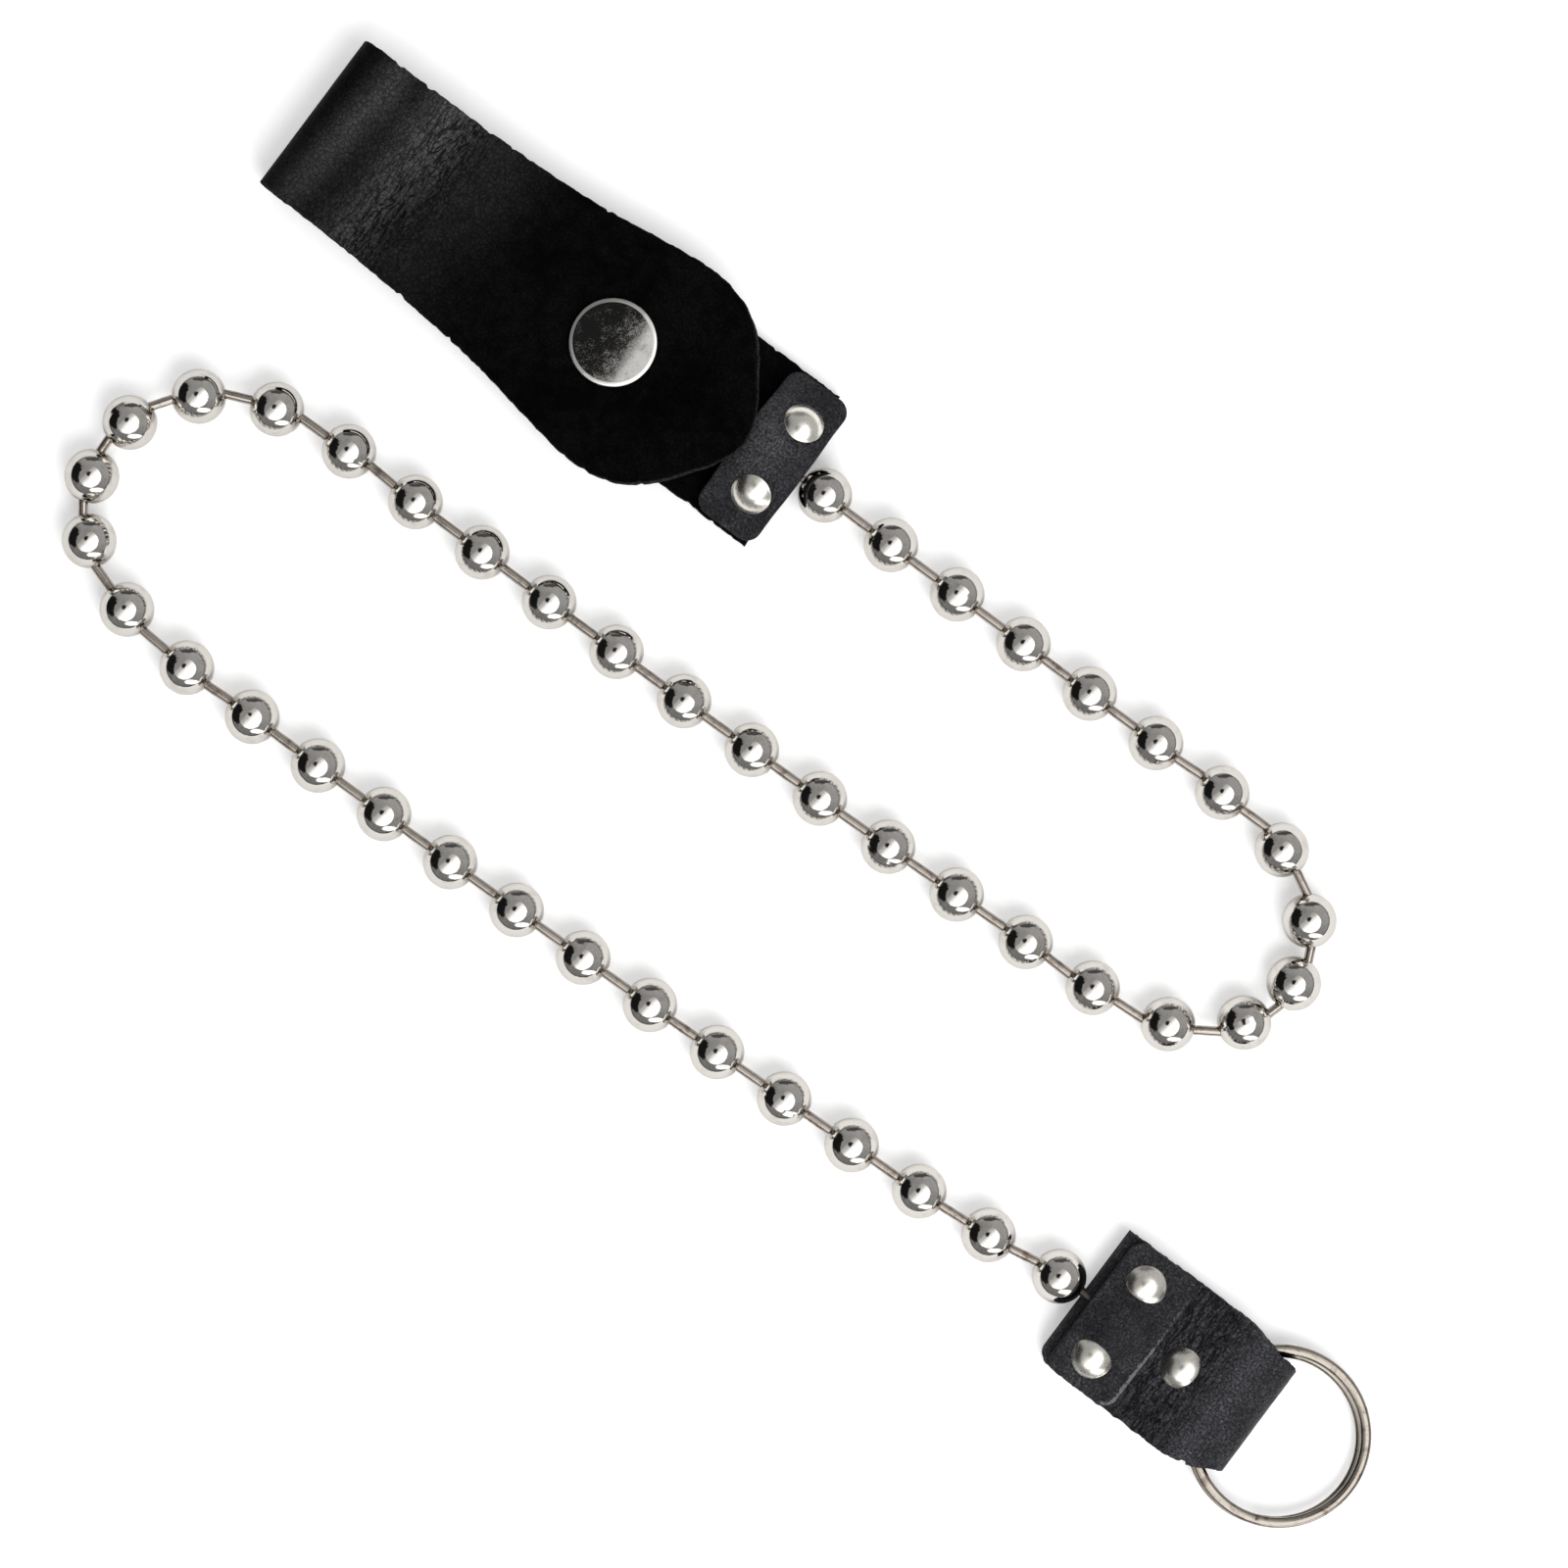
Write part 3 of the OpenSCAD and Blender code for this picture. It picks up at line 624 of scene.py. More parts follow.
def tab_patch_piece():
    """The patch that traps the first ball: a saddle between two rivets."""
    low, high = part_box("tab_patch")
    thick = 1.8 * MM
    ball = ball_centre("tab_ball")
    floor = base_high.z + thick / 2
    crown = high.z - thick / 2
    end = ball.z + thick / 2 + 1.9 * MM

    def height(x, y):
        """A ridge across the strap over the ball, that falls to the strap before and behind."""
        far = np.abs(y - STRAP_Y)
        across = np.interp(far, np.array([0, 1.2, 2.5, 5, 7.6, 10.2, 12.5, 14.2, 40]) * MM,
                           [1, 0.985, 0.93, 0.745, 0.51, 0.28, 0.09, 0, 0])
        off = np.abs(x - ball.x)
        ridge = np.interp(off, np.array([0, 1.2, 3.6, 6.6, 12]) * MM, [1, 0.95, 0.62, 0, -0.3])
        return soft_min(floor + (crown - floor) * across, end + (crown - end) * ridge, 1.6 * MM)

    def rounded_height(x, y):
        """height, averaged over a small area."""
        steps = [-0.9 * MM, 0, 0.9 * MM]
        return sum(height(x + a, y + b) for a in steps for b in steps) / 9

    def from_rivets(x, y):
        """Distances to the tab's two rivets."""
        return [np.hypot(x - ball.x - 1.3 * MM, y - STRAP_Y - side * 7.6 * MM) for side in (-1, 1)]

    def relief(x, y):
        hollow = np.exp(-((x - ball.x - 2.5 * MM) / (1.6 * MM)) ** 2 - ((y - STRAP_Y) / (3.2 * MM)) ** 2)
        dimples = sum(np.exp(-(far / (4.2 * MM)) ** 4) for far in from_rivets(x, y))
        return -hollow * 0.35 * MM - dimples * 0.25 * MM + ripple(x, y, 4 * MM, 2.0) * 0.08 * MM

    def marks(x, y):
        # Rings pressed round the rivets are creases, whose wrinkle lines the leather darkens with painted
        # shade.
        pressed = sum(np.exp(-((far - 3.9 * MM) / (0.5 * MM)) ** 2) for far in from_rivets(x, y))
        # Painted sheen: a lighter spot on the saddle beside the ball, where it would catch the light.
        sheen = ((x - ball.x + 3 * MM) / (4.5 * MM)) ** 2 + ((y - STRAP_Y - 1 * MM) / (5.5 * MM)) ** 2
        sheen = np.exp(-sheen)
        painted_sheen_and_tone = 0.24 + 0.75 * sheen + 0.12 * ripple(x, y, 5 * MM, 5.0)
        return np.clip(pressed * 0.5, 0, 1), painted_sheen_and_tone, 0 * x + 0.15

    s, low_edge, high_edge = patch_outline(low, high)
    piece = hide("belt_tab_patch", s, low_edge, high_edge, draped(rounded_height), thick, relief, marks,
                 PATCH_STEP, fray=0.05 * MM, seed=21.0)
    piece.data.materials.append(PATCH)
    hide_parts("tab_patch")
    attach(piece, "strap")


def fob_strap_piece():
    """The folded strip of the fob, open at its left end and round at its fold."""
    rays = rays_of("fob_strap")
    low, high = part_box("fob_strap")
    thick = 2.4 * MM
    middle = (low.y + high.y) / 2
    fold_r = (high.z - low.z) / 2
    fold_x = high.x - fold_r
    clear_y = middle + 10.5 * MM  # clear of the rivets' posts
    lower, upper = [], []
    for x in np.linspace(low.x + 0.02 * MM, fold_x - 0.1 * MM, 80):
        z = thickness(rays, x, clear_y)
        if z is None:
            continue
        lower.append((x, z[0] + thick / 2))
        upper.append((x, z[1] - thick / 2))
    lower[0] = (low.x, lower[0][1])
    upper[0] = (low.x, upper[0][1])
    upper = eased(upper, 9)
    rise = lower[0][1] - thick / 2
    arc = fold_arc(fold_x, low.z + fold_r, fold_r - thick / 2, -90, 90)
    place, lengths = along(lower + arc + upper[::-1], 1)
    total = lengths[-1]
    start = lengths[len(lower)]
    end = lengths[len(lower) + len(arc) - 1]
    s = clustered(total, 0.5 * MM)
    at_x = place(s, 0 * s, 0 * s)[:, 0]
    edges = []
    for x in np.linspace(low.x + 0.1 * MM, high.x - 0.1 * MM, 90):
        edges.append((x, *(width(rays, x, low.z + fold_r) or width(rays, x, rise + thick / 2))))
    low_edge, high_edge = [np.interp(at_x, *np.array(eased([(e[0], e[side]) for e in edges], 5)).T)
                           for side in (1, 2)]
    near = np.clip(CORNER_R - (at_x - low.x), 0, CORNER_R)
    low_edge = low_edge + CORNER_R - np.sqrt(CORNER_R ** 2 - near ** 2)
    high_edge = high_edge + smooth((at_x - high.x + 5 * MM) / (4 * MM)) * 1.4 * MM

    def marks(s_grid, y_grid):
        u = total - s_grid
        # Creases mark where wrinkles lie; the leather darkens their lines with painted shade.
        creased = smooth((u - 13 * MM) / (3 * MM)) * (1 - smooth((u - 24 * MM) / (7 * MM)))
        # Painted sheen: lighter in the crease zone and just past the fold, on top of random tone.
        painted_sheen_and_tone = 0.26 + 0.12 * ripple(s_grid, y_grid, 6 * MM, 12.0) + 0.16 * creased
        painted_sheen_and_tone = painted_sheen_and_tone + 0.35 * np.exp(-((s_grid - end - 3 * MM) / (3 * MM)) ** 2)
        return creased, painted_sheen_and_tone, 0 * u + 0.25

    def relief(s_grid, y_grid):
        u = total - s_grid
        zone = smooth((u - 12 * MM) / (3 * MM)) * (1 - smooth((u - 30 * MM) / (6 * MM)))
        bands = ripple(s_grid, y_grid * 0.4, 2.2 * MM, 17.0)
        upper = smooth((s_grid - start) / (end - start))
        return (bands * zone * 0.12 + ripple(s_grid, y_grid, 7 * MM, 31.0) * 0.1) * MM * upper

    piece = hide("fob_leather", s, low_edge, high_edge, place, thick, relief, marks,
                 step=0.5 * MM, fray=0.34 * MM, seed=33.0)
    piece.data.materials.append(FOB)
    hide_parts("fob_strap")
    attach(piece, "fob")


def fob_patch_piece():
    """The patch riveted over the last ball."""
    low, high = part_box("fob_patch")
    ball = ball_centre("fob_ball")
    rivets = sorted(islands("fob_rivets"), key=lambda points: points[:, 0].mean())
    top = rivets[0][:, 2].max() - RIVET_H
    thick = 2.2 * MM
    flat = top - thick / 2
    crown = high.z - thick / 2 - 0.1 * MM

    def height(x, y):
        """Level, with a bulge over the ball."""
        off = np.hypot(x - ball.x, (y - ball.y) * 0.9)
        bulge = np.exp(-(off / (4.6 * MM)) ** 2.6)
        return flat + (crown - flat) * bulge

    middle_y = (low.y + high.y) / 2

    def relief(x, y):
        return ripple(x, y, 5 * MM, 44.0) * 0.08 * MM

    def marks(x, y):
        lower = smooth((middle_y + 4 * MM - y) / (8 * MM))
        rubbed = smooth((x - high.x + 3 * MM) / (1 * MM)) * (0.25 + 0.75 * lower)
        return 0 * x, 0.24 + 0.12 * ripple(x, y, 5 * MM, 45.0), 0.35 + rubbed

    s, low_edge, high_edge = patch_outline(low, high)
    piece = hide("fob_patch_leather", s, low_edge, high_edge, draped(height), thick, relief, marks,
                 PATCH_STEP, fray=0.06 * MM, seed=41.0)
    piece.data.materials.append(PATCH)
    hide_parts("fob_patch")
    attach(piece, "fob")


# ---------------------------------------------------------------- turned metal and chain

def geometry_tree(name, **inputs):
    """A geometry tree, its graph, and a function that gives an input's value.

    inputs gives the names of its inputs of each kind.
    """
    tree = bpy.data.node_groups.new(name, "GeometryNodeTree")
    tree.interface.new_socket("Geometry", in_out="INPUT", socket_type="NodeSocketGeometry")
    tree.interface.new_socket("Geometry", in_out="OUTPUT", socket_type="NodeSocketGeometry")
    for kind, labels in inputs.items():
        for label in labels:
            tree.interface.new_socket(label, in_out="INPUT", socket_type="NodeSocket" + kind)
    graph = Graph(tree)
    node = tree.nodes.new("NodeGroupInput")
    return tree, graph, lambda label: Value(graph, node.outputs[label])


def turned_tree():
    """Turns a profile, points of (radius, 0, height), about Z, with a seam down it and dents."""
    tree, g, value = geometry_tree(
        "turned metal", Int=["Steps"],
        Float=["Seam depth", "Seam width", "Seam turn", "Dents", "Dent size", "Seed"])
    profile = value("Geometry")
    count = g.add("GeometryNodeAttributeDomainSize", {"component": "MESH"}, {0: profile})
    sheet = g.shape("MeshGrid", Vertices_X=value("Steps") + 1, Vertices_Y=count, Size_X=1.0, Size_Y=1.0)
    index = g.shape("InputIndex")
    row = index.math("MODULO", count)
    source = g.add("GeometryNodeSampleIndex", {"data_type": "FLOAT_VECTOR"},
                   {"Geometry": profile, "Value": g.shape("InputPosition"), "Index": row})
    share = (index / count).math("FLOOR") / value("Steps")
    angle = share * math.tau
    away = (share - value("Seam turn")).math("WRAP", 0.5, -0.5)
    groove = ((away / value("Seam width")) ** 2.0 * -1.0).math("EXPONENT") * value("Seam depth")
    radius = source.part(0) - groove * source.part(0).ramp(0.0, 3 * MM)
    placed = g.combine(radius * angle.math("COSINE"), radius * angle.math("SINE"), source.part(2))
    wave = g.add("ShaderNodeTexNoise", {"noise_dimensions": "4D"},
                 {"Vector": placed, "W": value("Seed"), "Scale": 1 / value("Dent size"), "Detail": 2.0}, 1)
    wave = g.vector("SUBTRACT", wave, (0.5, 0.5, 0.5))
    shift = g.vector("MULTIPLY", wave, g.combine(value("Dents"), value("Dents"), value("Dents")))
    shell = g.shape("SetPosition", Geometry=sheet, Position=g.vector("ADD", placed, shift))
    closed = g.shape("MergeByDistance", Geometry=shell, Distance=0.0004 * MM)
    g.add("NodeGroupOutput", {}, {0: g.shape("SetShadeSmooth", Geometry=closed, Shade_Smooth=True)})
    return tree


TURNED = turned_tree()


def turned(g, profile, place, turn, material, steps, seam=0.0, seam_turn=0.0, dents=0.0, dent_size=1.0,
           seed=0.0):
    """Nodes that turn a profile object, place it and give it its material."""
    source = g.add("GeometryNodeObjectInfo", {"transform_space": "ORIGINAL"}, {"Object": profile}, "Geometry")
    inputs = {"Geometry": source, "Steps": steps, "Seam depth": seam, "Seam width": 0.006,
              "Seam turn": seam_turn, "Dents": dents, "Dent size": dent_size, "Seed": seed}
    piece = g.add("GeometryNodeGroup", {"node_tree": TURNED}, inputs)
    piece = g.shape("Transform", Geometry=piece, Translation=place, Rotation=turn)
    return g.shape("SetMaterial", Geometry=piece, Material=material)


def chain_link_tree():
    """A seamed ball and the pin that leads to it."""
    tree, g, value = geometry_tree(
        "chain link", Object=["Ball profile", "Pin profile"], Vector=["Ball place", "Pin place"],
        Rotation=["Ball turn", "Pin turn"], Material=["Ball finish", "Pin finish"],
        Float=["Seam turn", "Seam depth", "Dents", "Dent size", "Seed"])
    ball = turned(g, value("Ball profile"), value("Ball place"), value("Ball turn"), value("Ball finish"),
                  84, value("Seam depth"), value("Seam turn"), value("Dents"), value("Dent size"),
                  value("Seed"))
    pin = turned(g, value("Pin profile"), value("Pin place"), value("Pin turn"), value("Pin finish"), 28,
                 dents=value("Dents") * 1.5, dent_size=0.9 * MM, seed=value("Seed"))
    both = g.shape("JoinGeometry", Geometry=[ball, pin])
    g.add("NodeGroupOutput", {}, {0: g.shape("RealizeInstances", Geometry=both)})
    return tree


def rivet_tree():
    """A domed cap, a post and a flat back plate at each point."""
    tree, g, value = geometry_tree(
        "rivets", Object=["Cap profile", "Post profile", "Plate profile"], Material=["Finish"])
    none = (0.0, 0.0, 0.0)
    cap, post, plate = [turned(g, value(label + " profile"), none, none, value("Finish"), steps)
                        for label, steps in (("Cap", 72), ("Post", 32), ("Plate", 48))]
    foot = value("Geometry")
    lean = g.add("GeometryNodeInputNamedAttribute", {"data_type": "FLOAT_VECTOR"}, {"Name": "lean"})
    rise = g.add("GeometryNodeInputNamedAttribute", {"data_type": "FLOAT"}, {"Name": "rise"})
    lifted = g.shape("SetPosition", Geometry=foot, Offset=g.combine(0.0, 0.0, rise))
    leaning = g.add("FunctionNodeEulerToRotation", {}, {0: lean})
    caps = g.shape("InstanceOnPoints", Points=lifted, Instance=cap, Rotation=leaning)
    posts = g.shape("InstanceOnPoints", Points=foot, Instance=post, Scale=g.combine(1.0, 1.0, rise))
    plates = g.shape("InstanceOnPoints", Points=foot, Instance=plate)
    rivets = g.shape("JoinGeometry", Geometry=[caps, posts, plates])
    rivets = g.shape("RealizeInstances", Geometry=rivets)
    g.add("NodeGroupOutput", {}, {0: g.shape("SetMaterial", Geometry=rivets, Material=value("Finish"))})
    return tree


def single_tree():
    """One turned piece."""
    tree, g, value = geometry_tree("turned piece", Object=["Profile"], Vector=["Place"], Rotation=["Turn"],
                                   Float=["Dents"], Material=["Finish"])
    piece = turned(g, value("Profile"), value("Place"), value("Turn"), value("Finish"), 128,
                   dents=value("Dents"), dent_size=6 * MM)
    g.add("NodeGroupOutput", {}, {0: g.shape("RealizeInstances", Geometry=piece)})
    return tree


def ring_tree():
    """Flat wire wound in two turns, with a short climb between them."""
    tree, g, value = geometry_tree(
        "split ring", Float=["Radius", "Wire width", "Wire height", "Split", "Start", "Climb"],
        Vector=["Place"], Rotation=["Turn"], Material=["Finish"])
    count = 520
    line = g.shape("MeshLine", Count=count, Offset=(0, 0, 1))
    curve = g.shape("MeshToCurve", Mesh=line)
    share = g.shape("InputIndex") / float(count - 1)
    sweep = share * (2 * math.tau - value("Split"))
    angle = value("Start") + sweep
    climb = (sweep - math.tau + value("Climb")) / value("Climb")
    rise = climb.ramp(0.0, 1.0, -0.5, 0.5) * value("Wire height")
    radius = value("Radius") - value("Wire width") / 2 - climb.ramp(0.0, 1.0, 0.25 * MM, 0.0)
    helix = g.combine(radius * angle.math("COSINE"), radius * angle.math("SINE"), rise)
    curve = g.shape("SetPosition", Geometry=curve, Position=helix)
    slip = g.combine(climb.ramp(0.0, 1.0, -0.15 * MM, 0.06 * MM),
                     climb.ramp(0.0, 1.0, -0.4 * MM, 0.1 * MM), 0.0)
    curve = g.shape("SetPosition", Geometry=curve, Offset=slip)
    curve = g.add("GeometryNodeSetCurveNormal", {"mode": "Z_UP"}, {0: curve})
    circle = g.add("GeometryNodeCurvePrimitiveCircle", {"mode": "RADIUS"}, {"Resolution": 28, "Radius": 0.5})
    section = g.combine(value("Wire width"), value("Wire height") * 0.97, 1.0)
    section = g.shape("Transform", Geometry=circle, Scale=section)
    wire = g.shape("CurveToMesh", Curve=curve, Profile_Curve=section, Fill_Caps=True)
    wire = g.shape("SetShadeSmooth", Geometry=wire, Shade_Smooth=True)
    wire = g.shape("Transform", Geometry=wire, Translation=value("Place"), Rotation=value("Turn"))
    wire = g.shape("RealizeInstances", Geometry=wire)
    g.add("NodeGroupOutput", {}, {0: g.shape("SetMaterial", Geometry=wire, Material=value("Finish"))})
    return tree


HELPERS = []


def profile_object(name, points):
    """A helper object whose mesh is a profile: a row of (radius, height) points."""
    mesh = bpy.data.meshes.new(name)
    mesh.from_pydata([(r, 0, z) for r, z in points], [(i, i + 1) for i in range(len(points) - 1)], [])
    HELPERS.append(in_scene(name, mesh))
    return HELPERS[-1]


def built(name, tree, values, mesh=None):
    """The tree's result as one plain mesh object at the origin."""
    piece = in_scene(name, mesh or bpy.data.meshes.new(name))
    modifier = piece.modifiers.new("build", "NODES")
    modifier.node_group = tree
    for item in tree.interface.items_tree:
        if item.in_out == "INPUT" and item.name in values:
            given = values[item.name]
            modifier[item.identifier] = tuple(given) if isinstance(given, (Vector, Euler)) else given
    graph = bpy.context.evaluated_depsgraph_get()
    graph.update()
    result = bpy.data.meshes.new_from_object(piece.evaluated_get(graph), preserve_all_data_layers=True,
                                             depsgraph=graph)
    piece.modifiers.remove(modifier)
    piece.data = result
    result.name = name
    return piece


def arc_points(radius, start, end, steps, centre=0.0):
    """Profile points (radius, height) on a circle about the axis; angles from the top, in degrees."""
    return [(radius * math.sin(math.radians(a)), centre + radius * math.cos(math.radians(a)))
            for a in np.linspace(start, end, steps)]


def toward(direction):
    """Turn that points an object's Z along a direction."""
    return direction.to_track_quat("Z", "Y").to_euler()


def ball_outline(radius):
    """Profile of a thin shell with a hole at either end."""
    wall = 0.4 * MM
    hole = 1.15 * MM
    lip = math.degrees(math.asin(hole / radius))
    outer = arc_points(radius, lip + 3.5, 180 - lip - 3.5, 44)
    inner = arc_points(radius - wall, 180 - lip - 4, lip + 4, 16)
    top = radius * math.cos(math.radians(lip))
    rim_top = [(hole * 1.07, top - 0.1 * MM),
               (hole * 1.03, (radius - 0.22 * MM) * math.cos(math.radians(lip)) - 0.08 * MM)]
    rim_low = [(r, -z) for r, z in rim_top]
    return [rim_top[1], rim_top[0]] + outer + rim_low + inner + [rim_top[1]]


def pin_outline(length):
    """Profile of a pin with a round head at either end."""
    shank, head, neck = 0.85 * MM, 1.35 * MM, 1.9 * MM
    top = length / 2
    stem = [(shank * 0.99, top - neck * 0.7), (shank * 0.97, top - neck), (shank * 0.98, top - neck * 1.5),
            (shank, 0.0)]
    half = arc_points(head, 0, 138, 10, top) + stem
    return half + [(r, -z) for r, z in half[-2::-1]]


def chain_pieces():
    """Each ball with the pin that leads to it, and the ball trapped in the tab."""
    joints = {j["name"]: Vector(j["pos_m"]) for j in frame["joints"]}
    links = sorted(n for n in frame["bodies"] if n.startswith("link_"))
    balls = ["tab_ball"] + [n.replace("link", "ball") for n in links] + ["fob_ball"]
    bodies = ["strap"] + links + ["fob"]
    centres = [ball_centre(n) for n in balls]
    exits = [joints[n] for n in links] + [joints["fob_tilt"]]
    mid_wall = (exits[0] - centres[0]).length
    pin_length = 9.3 * MM
    held_share = 0.45
    dents = 0.035 * MM
    ball_profile = profile_object("ball profile", ball_outline(centres[0].z))
    pin_profile = profile_object("pin profile", pin_outline(pin_length))
    tree = chain_link_tree()
    for i, (node, body, centre) in enumerate(zip(balls, bodies, centres)):
        way_out = exits[i] - centre if i < len(exits) else centre - centres[i - 1]
        way_out.z = 0
        way_out.normalize()
        if i:
            entry = centre - way_out * mid_wall
            reach = entry - exits[i - 1]
            held = entry + reach.normalized() * held_share * (pin_length - reach.length)
            values = {"Ball profile": ball_profile, "Pin profile": pin_profile, "Ball place": centre,
                      "Ball turn": toward(way_out), "Pin turn": toward(reach),
                      "Pin place": held - reach.normalized() * pin_length / 2,
                      "Seam turn": (i * 0.381 + 0.07) % 1.0, "Seam depth": 0.05 * MM, "Dents": dents,
                      "Dent size": 3.1 * MM, "Seed": float(i) * 1.7, "Ball finish": BALL,
                      # the last pin is darkened as painted shade under the fob's edge
                      "Pin finish": SHADE_DARKENED_PIN if node == balls[-1] else PIN}
            piece = built(node + "_and_pin", tree, values)
        else:
            values = {"Profile": ball_profile, "Place": centre, "Turn": toward(way_out), "Dents": dents,
                      "Finish": BALL}
            piece = built("trapped_" + node, single_tree(), values)
        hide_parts(node)
        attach(piece, body)


# Diameter and height of a rivet's cap, and the radius of its dome
RIVET_D = 7.3 * MM
RIVET_H = 1.7 * MM
RIVET_BEND = (RIVET_D ** 2 / 4 + RIVET_H ** 2) / (2 * RIVET_H)


def cap_outline():
    """Profile of a rivet's cap: a shallow dome with a rolled edge."""
    r = RIVET_D / 2
    half = math.asin((r - 0.175 * MM) / RIVET_BEND)
    dome = [(RIVET_BEND * math.sin(a), RIVET_H - RIVET_BEND * (1 - math.cos(a)))
            for a in np.linspace(0, half, 22)]
    return dome + [(r, dome[-1][1] * 0.6), (r, 0.02 * MM), (r * 0.8, 0.0), (0.0, 0.0)]


def rivet_pieces(node, body, name, leans):
    """leans: for each rivet in order of X then Y, the cap's lean about X and about Y in degrees."""
    feet = []
    for points in islands(node):
        low = points[:, 2].min()
        foot = points[points[:, 2] < low + 0.01 * MM].mean(axis=0)
        feet.append((Vector(foot), points[:, 2].max()))
    feet.sort(key=lambda f: (round(f[0].x, 3), f[0].y))
    mesh = bpy.data.meshes.new(name)
    mesh.from_pydata([tuple(f) for f, _ in feet], [], [])
    mesh.attributes.new("lean", "FLOAT_VECTOR", "POINT")
    mesh.attributes.new("rise", "FLOAT", "POINT")
    for i, ((foot, top), (about_x, about_y)) in enumerate(zip(feet, leans)):
        mesh.attributes["lean"].data[i].vector = (math.radians(about_x), math.radians(about_y), 0)
        tilt = math.cos(math.radians(max(abs(about_x), abs(about_y))))
        mesh.attributes["rise"].data[i].value = top - RIVET_BEND + (RIVET_BEND - RIVET_H) * tilt - foot.z
    post_r = 1.2 * MM
    back_r, back_face_r, back_rim, back_t = 3.2 * MM, 2.7 * MM, 0.35 * MM, 0.6 * MM
    post = [(0.0, 1.03), (post_r, 1.03), (post_r, 0.02), (0.0, 0.02)]
    back = [(0.0, back_t), (back_face_r, back_t), (back_r, back_rim), (back_r, 0.0), (0.0, 0.0)]
    values = {"Cap profile": profile_object(name + " cap", cap_outline()),
              "Post profile": profile_object(name + " post", post),
              "Plate profile": profile_object(name + " plate", back), "Finish": RIVET}
    piece = built(name, rivet_tree(), values, mesh)
    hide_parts(node)
    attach(piece, body)


def snap_pieces():
    """The snap's polished cap, and the finish of its three hidden parts."""
    low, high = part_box("snap_cap")
    centre = (low + high) / 2
    r = (high.x - low.x) / 2
    cap_h = 1.5 * MM
    dome = [(r * share, -0.02 * r * share ** 2) for share in np.linspace(0, 0.965, 12)]
    lip = [(r * 0.978, -0.22 * MM), (r * 0.988, -0.33 * MM), (r * 0.996, -0.52 * MM), (r, -0.85 * MM),
           (r, -1.2 * MM), (r * 0.985, -1.45 * MM), (r * 0.95, -cap_h), (0.0, -cap_h)]
    profile = profile_object("snap profile", [(a, b + cap_h) for a, b in dome + lip])
    values = {"Profile": profile, "Place": Vector((centre.x, centre.y, high.z - cap_h)),
              "Turn": Vector((0, 0, 0)), "Dents": 0.006 * MM, "Finish": SNAP}
    piece = built("snap_cap_polished", single_tree(), values)
    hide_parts("snap_cap")
    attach(piece, "flap")
    for node in ("snap_socket", "snap_stud", "snap_post"):
        inner = frame["nodes"][node]
        inner.data.materials.clear()
        inner.data.materials.append(SNAP_INSIDE)


def split_ring_piece():
    """The ring's wire, turned so that its split lies as on the real one."""
    low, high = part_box("split_ring")
    values = {"Radius": (high.y - low.y) / 2, "Wire width": 1.9 * MM, "Wire height": 1.3 * MM,
              "Split": math.radians(3), "Start": math.radians(-67), "Climb": math.radians(18),
              "Place": (low + high) / 2, "Turn": Vector((0, math.radians(2), 0)), "Finish": RING}
    piece = built("split_ring_wire", ring_tree(), values)
    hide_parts("split_ring")
    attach(piece, "ring")


strap_piece()
tab_patch_piece()
fob_strap_piece()
fob_patch_piece()
chain_pieces()
rivet_pieces("tab_rivets", "strap", "tab_rivets_domed", [(28, 0), (-28, 0)])
rivet_pieces("fob_rivets", "fob", "fob_rivets_domed", [(0, 0), (0, 0), (0, -10)])
snap_pieces()
split_ring_piece()
for helper in HELPERS:
    bpy.data.objects.remove(helper)


# ---------------------------------------------------------------- floor, light and camera

# The camera looks straight down at a place this far from the strap's fold and middle line, from its height
# over the balls' middles, and sees a field this wide there
AIM_X = 135.21 * MM
AIM_Y = -44.33 * MM
CAMERA_TURN = math.radians(36.8)
CAMERA_HEIGHT = 0.95
BALL_MIDDLE = 4.75 * MM
FIELD = 0.272
SENSOR = 36


def floor_finish():
    """Pale card.  The camera and the metal see it a little brighter than the lamps make it."""
    material, g, at = finish("pale card floor")
    tooth = g.noise(at, 0.6 * MM, 3.0)
    tone = g.blend(tooth, (0.8, 0.8, 0.805), (0.82, 0.82, 0.82))
    card = g.named("ShaderNodeBsdfPrincipled", Base_Color=tone, Roughness=0.9, Specular_IOR_Level=0.1)
    glow = g.named("ShaderNodeEmission", Color=(1, 1, 1, 1), Strength=0.27)
    bright = g.add("ShaderNodeAddShader", {}, {0: card, 1: glow})
    share = g.ray("Camera").math("MAXIMUM", g.ray("Transmission")).math("MAXIMUM", g.ray("Glossy") * 0.35)
    shown = g.add("ShaderNodeMixShader", {}, {0: share, 1: card, 2: bright})
    g.named("ShaderNodeOutputMaterial", Surface=shown)
    return material


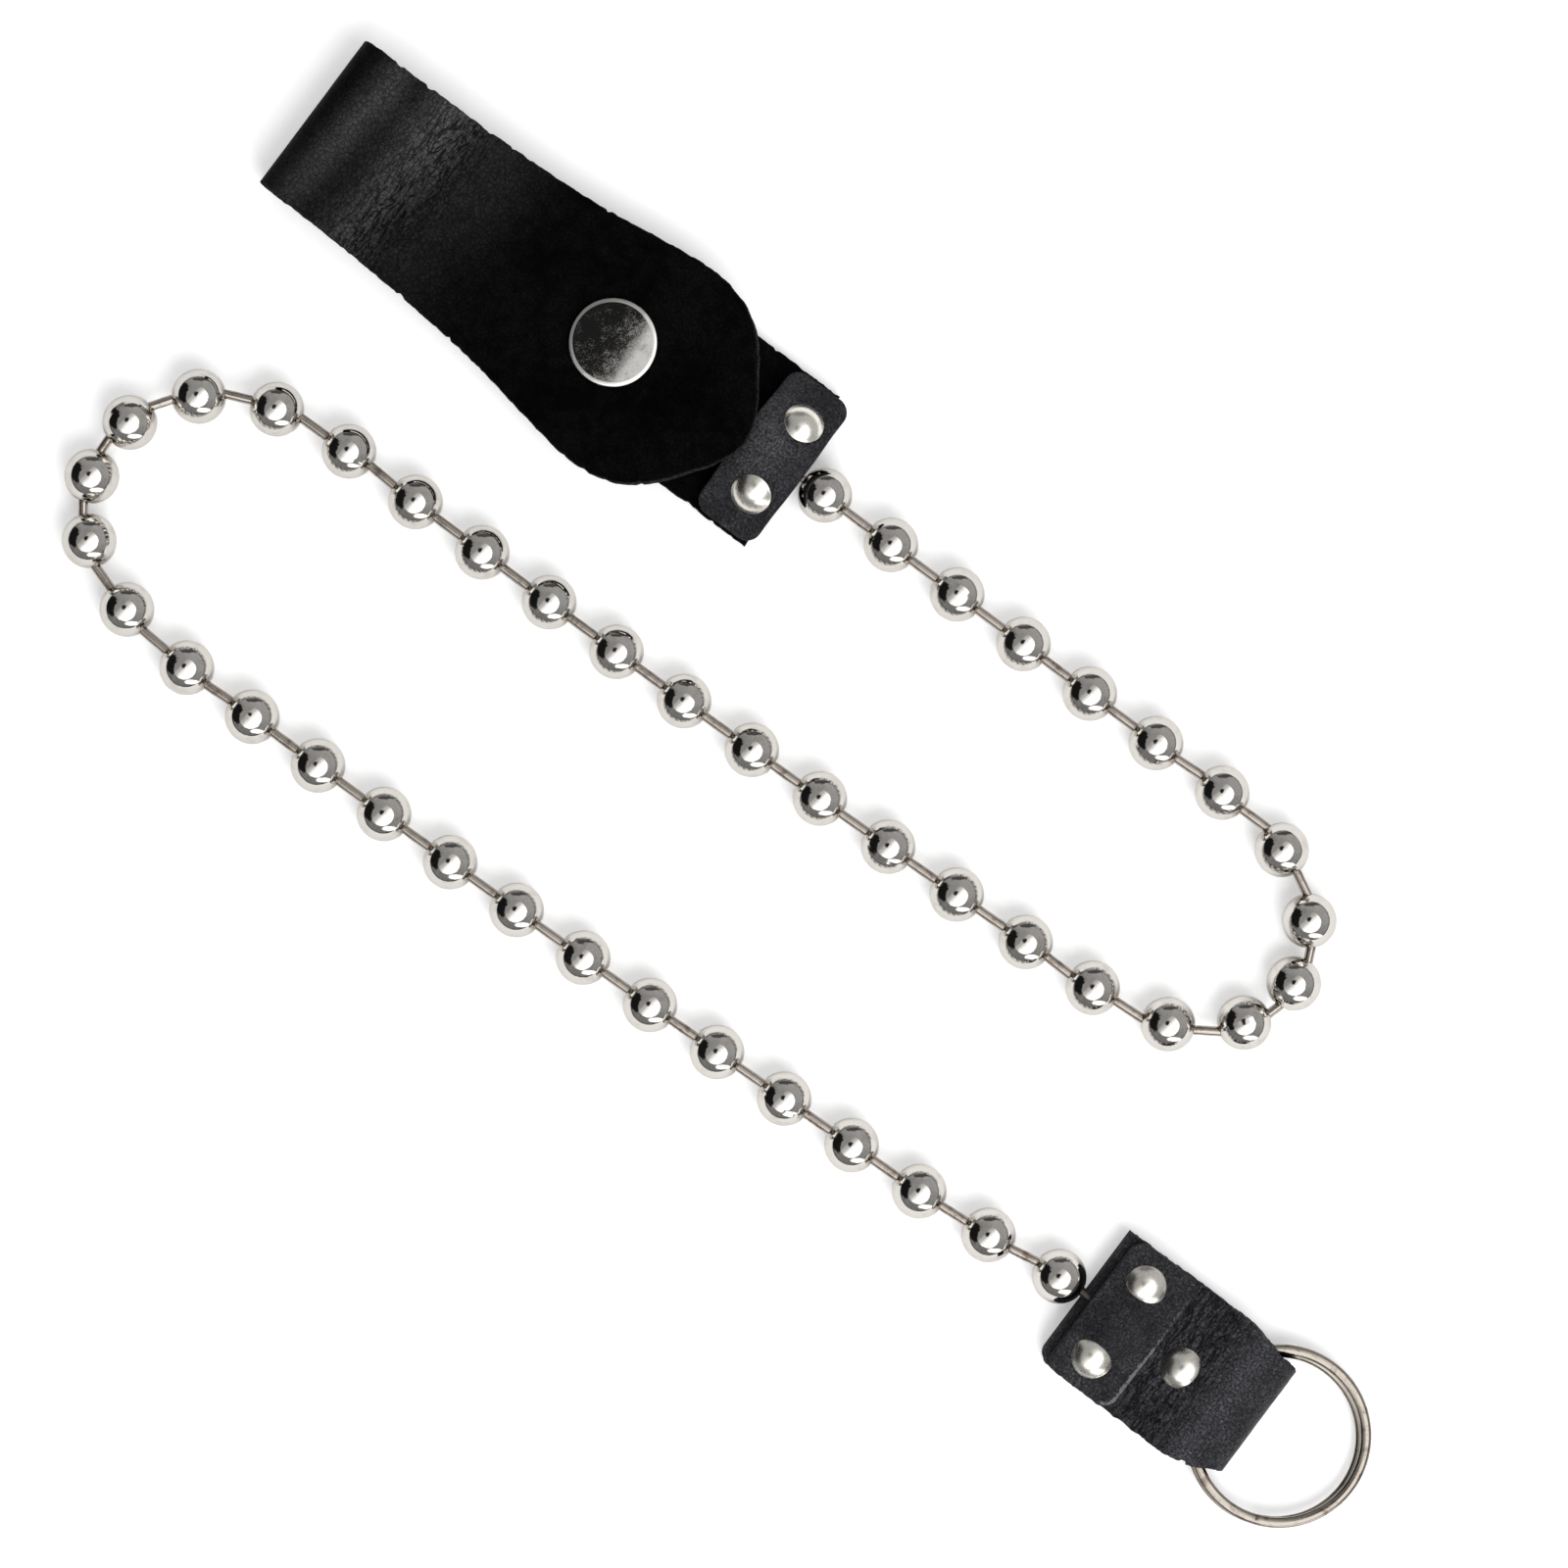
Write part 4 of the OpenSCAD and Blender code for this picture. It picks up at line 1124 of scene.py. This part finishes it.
def world_finish():
    """Soft studio.  The camera sees white; metal sees a round lamp overhead, a window and a dim room."""
    world = bpy.data.worlds.new("soft studio")
    world.use_nodes = True
    g = Graph(world.node_tree)
    way = g.add("ShaderNodeTexCoord", {}, {}, "Generated")
    cos, sin = math.cos(CAMERA_TURN), math.sin(CAMERA_TURN)
    spread = ((way.part(2) + 1.0) * 2.0).math("MAXIMUM", 0.01).math("SQRT")
    right = (way.part(0) * cos + way.part(1) * sin) / spread
    back = (way.part(1) * cos - way.part(0) * sin) / spread
    place = g.combine(right, back, 0.0)
    rag = g.noise(place, 0.16, 3.0, 0.7) - 0.5
    fine = g.noise(place, 0.05, 3.0, 0.6) - 0.5

    def oval(x, y, wide, tall, soft, ragged=0.0):
        """1 inside an oval about x, y, falling to 0 over its soft rim."""
        far = (((right - x) / wide) ** 2.0 + ((back - y) / tall) ** 2.0).math("SQRT") + rag * ragged
        return far.ramp(1.0 - soft, 1.0 + soft, 1.0, 0.0)

    out = (right ** 2.0 + back ** 2.0).math("SQRT")
    room = 0.24 + (right + back).ramp(-0.5, 0.9) * 0.22 + fine * 0.3 + rag * 0.25
    dark_side = oval(-0.5, 0.13, 0.21, 0.36, 0.06, 0.9) * 0.97
    dark_back = oval(0.05, 0.6, 0.3, 0.06, 0.2, 1.6) * 0.8
    dark_edge = (out + fine * 0.05).ramp(0.655, 0.68) * (rag + 0.5).ramp(0.35, 0.6) * 0.75
    room = room * (1 - dark_side) * (1 - dark_back) * (1 - dark_edge)
    lamp = oval(-0.02, -0.05, 0.4, 0.38, 0.04, 0.25)
    sun = right - back + rag * 0.12 * (1 - oval(-0.015, 0.04, 0.09, 0.09, 0.4))
    power = sun.ramp(-0.3, -0.12, 0.35, 0.7) + sun.ramp(-0.06, -0.03) * 0.45 + sun.ramp(0.0, 0.2) * 1.1
    level = room * (1 - lamp) + power * lamp
    window = oval(0.2, -0.53, 0.25, 0.08, 0.15, 0.5)
    level = level + window * 2.2
    aside = right * 0.84 - back * 0.54
    half_disc = oval(-0.04, 0.06, 0.1, 0.09, 0.35) * aside.ramp(-0.018, -0.011, 0.97, 0.0)
    level = level * (1 - half_disc)
    studio, soft, white = [g.named("ShaderNodeBackground", Color=(1, 1, 1, 1), Strength=strength)
                           for strength in (level.math("MAXIMUM", 0.01), 0.5, 1.0)]
    light = g.add("ShaderNodeMixShader", {}, {0: g.ray("Glossy"), 1: soft, 2: studio})
    light = g.add("ShaderNodeMixShader", {}, {0: g.ray("Camera"), 1: light, 2: white})
    g.named("ShaderNodeOutputWorld", Surface=light)
    bpy.context.scene.world = world


def softbox(name, place, size, power):
    """A square lamp that faces the origin and leaves no reflection."""
    data = bpy.data.lights.new(name, "AREA")
    data.size = size
    data.energy = power
    lamp = in_scene(name, data)
    lamp.location = place
    lamp.visible_glossy = False
    lamp.rotation_euler = toward(Vector(place))


bpy.ops.mesh.primitive_plane_add(size=6, location=(0, 0, 0))
floor = bpy.context.object
floor.name = "floor"
floor.data.materials.append(floor_finish())
world_finish()
softbox("key", (0.62, -0.28, 0.95), 0.8, 13.0)
softbox("fill", (-0.3, 0.5, 1.2), 0.7, 3.0)

camera_data = bpy.data.cameras.new("camera")
camera = in_scene("camera", camera_data)
camera.location = (fold_low.x + AIM_X, STRAP_Y + AIM_Y, CAMERA_HEIGHT + BALL_MIDDLE)
camera.rotation_euler = (0, 0, CAMERA_TURN)
camera_data.sensor_width = SENSOR
camera_data.lens = SENSOR * CAMERA_HEIGHT / FIELD
camera_data.clip_start = 0.01
bpy.context.scene.camera = camera
bpy.context.scene.view_settings.view_transform = "Standard"
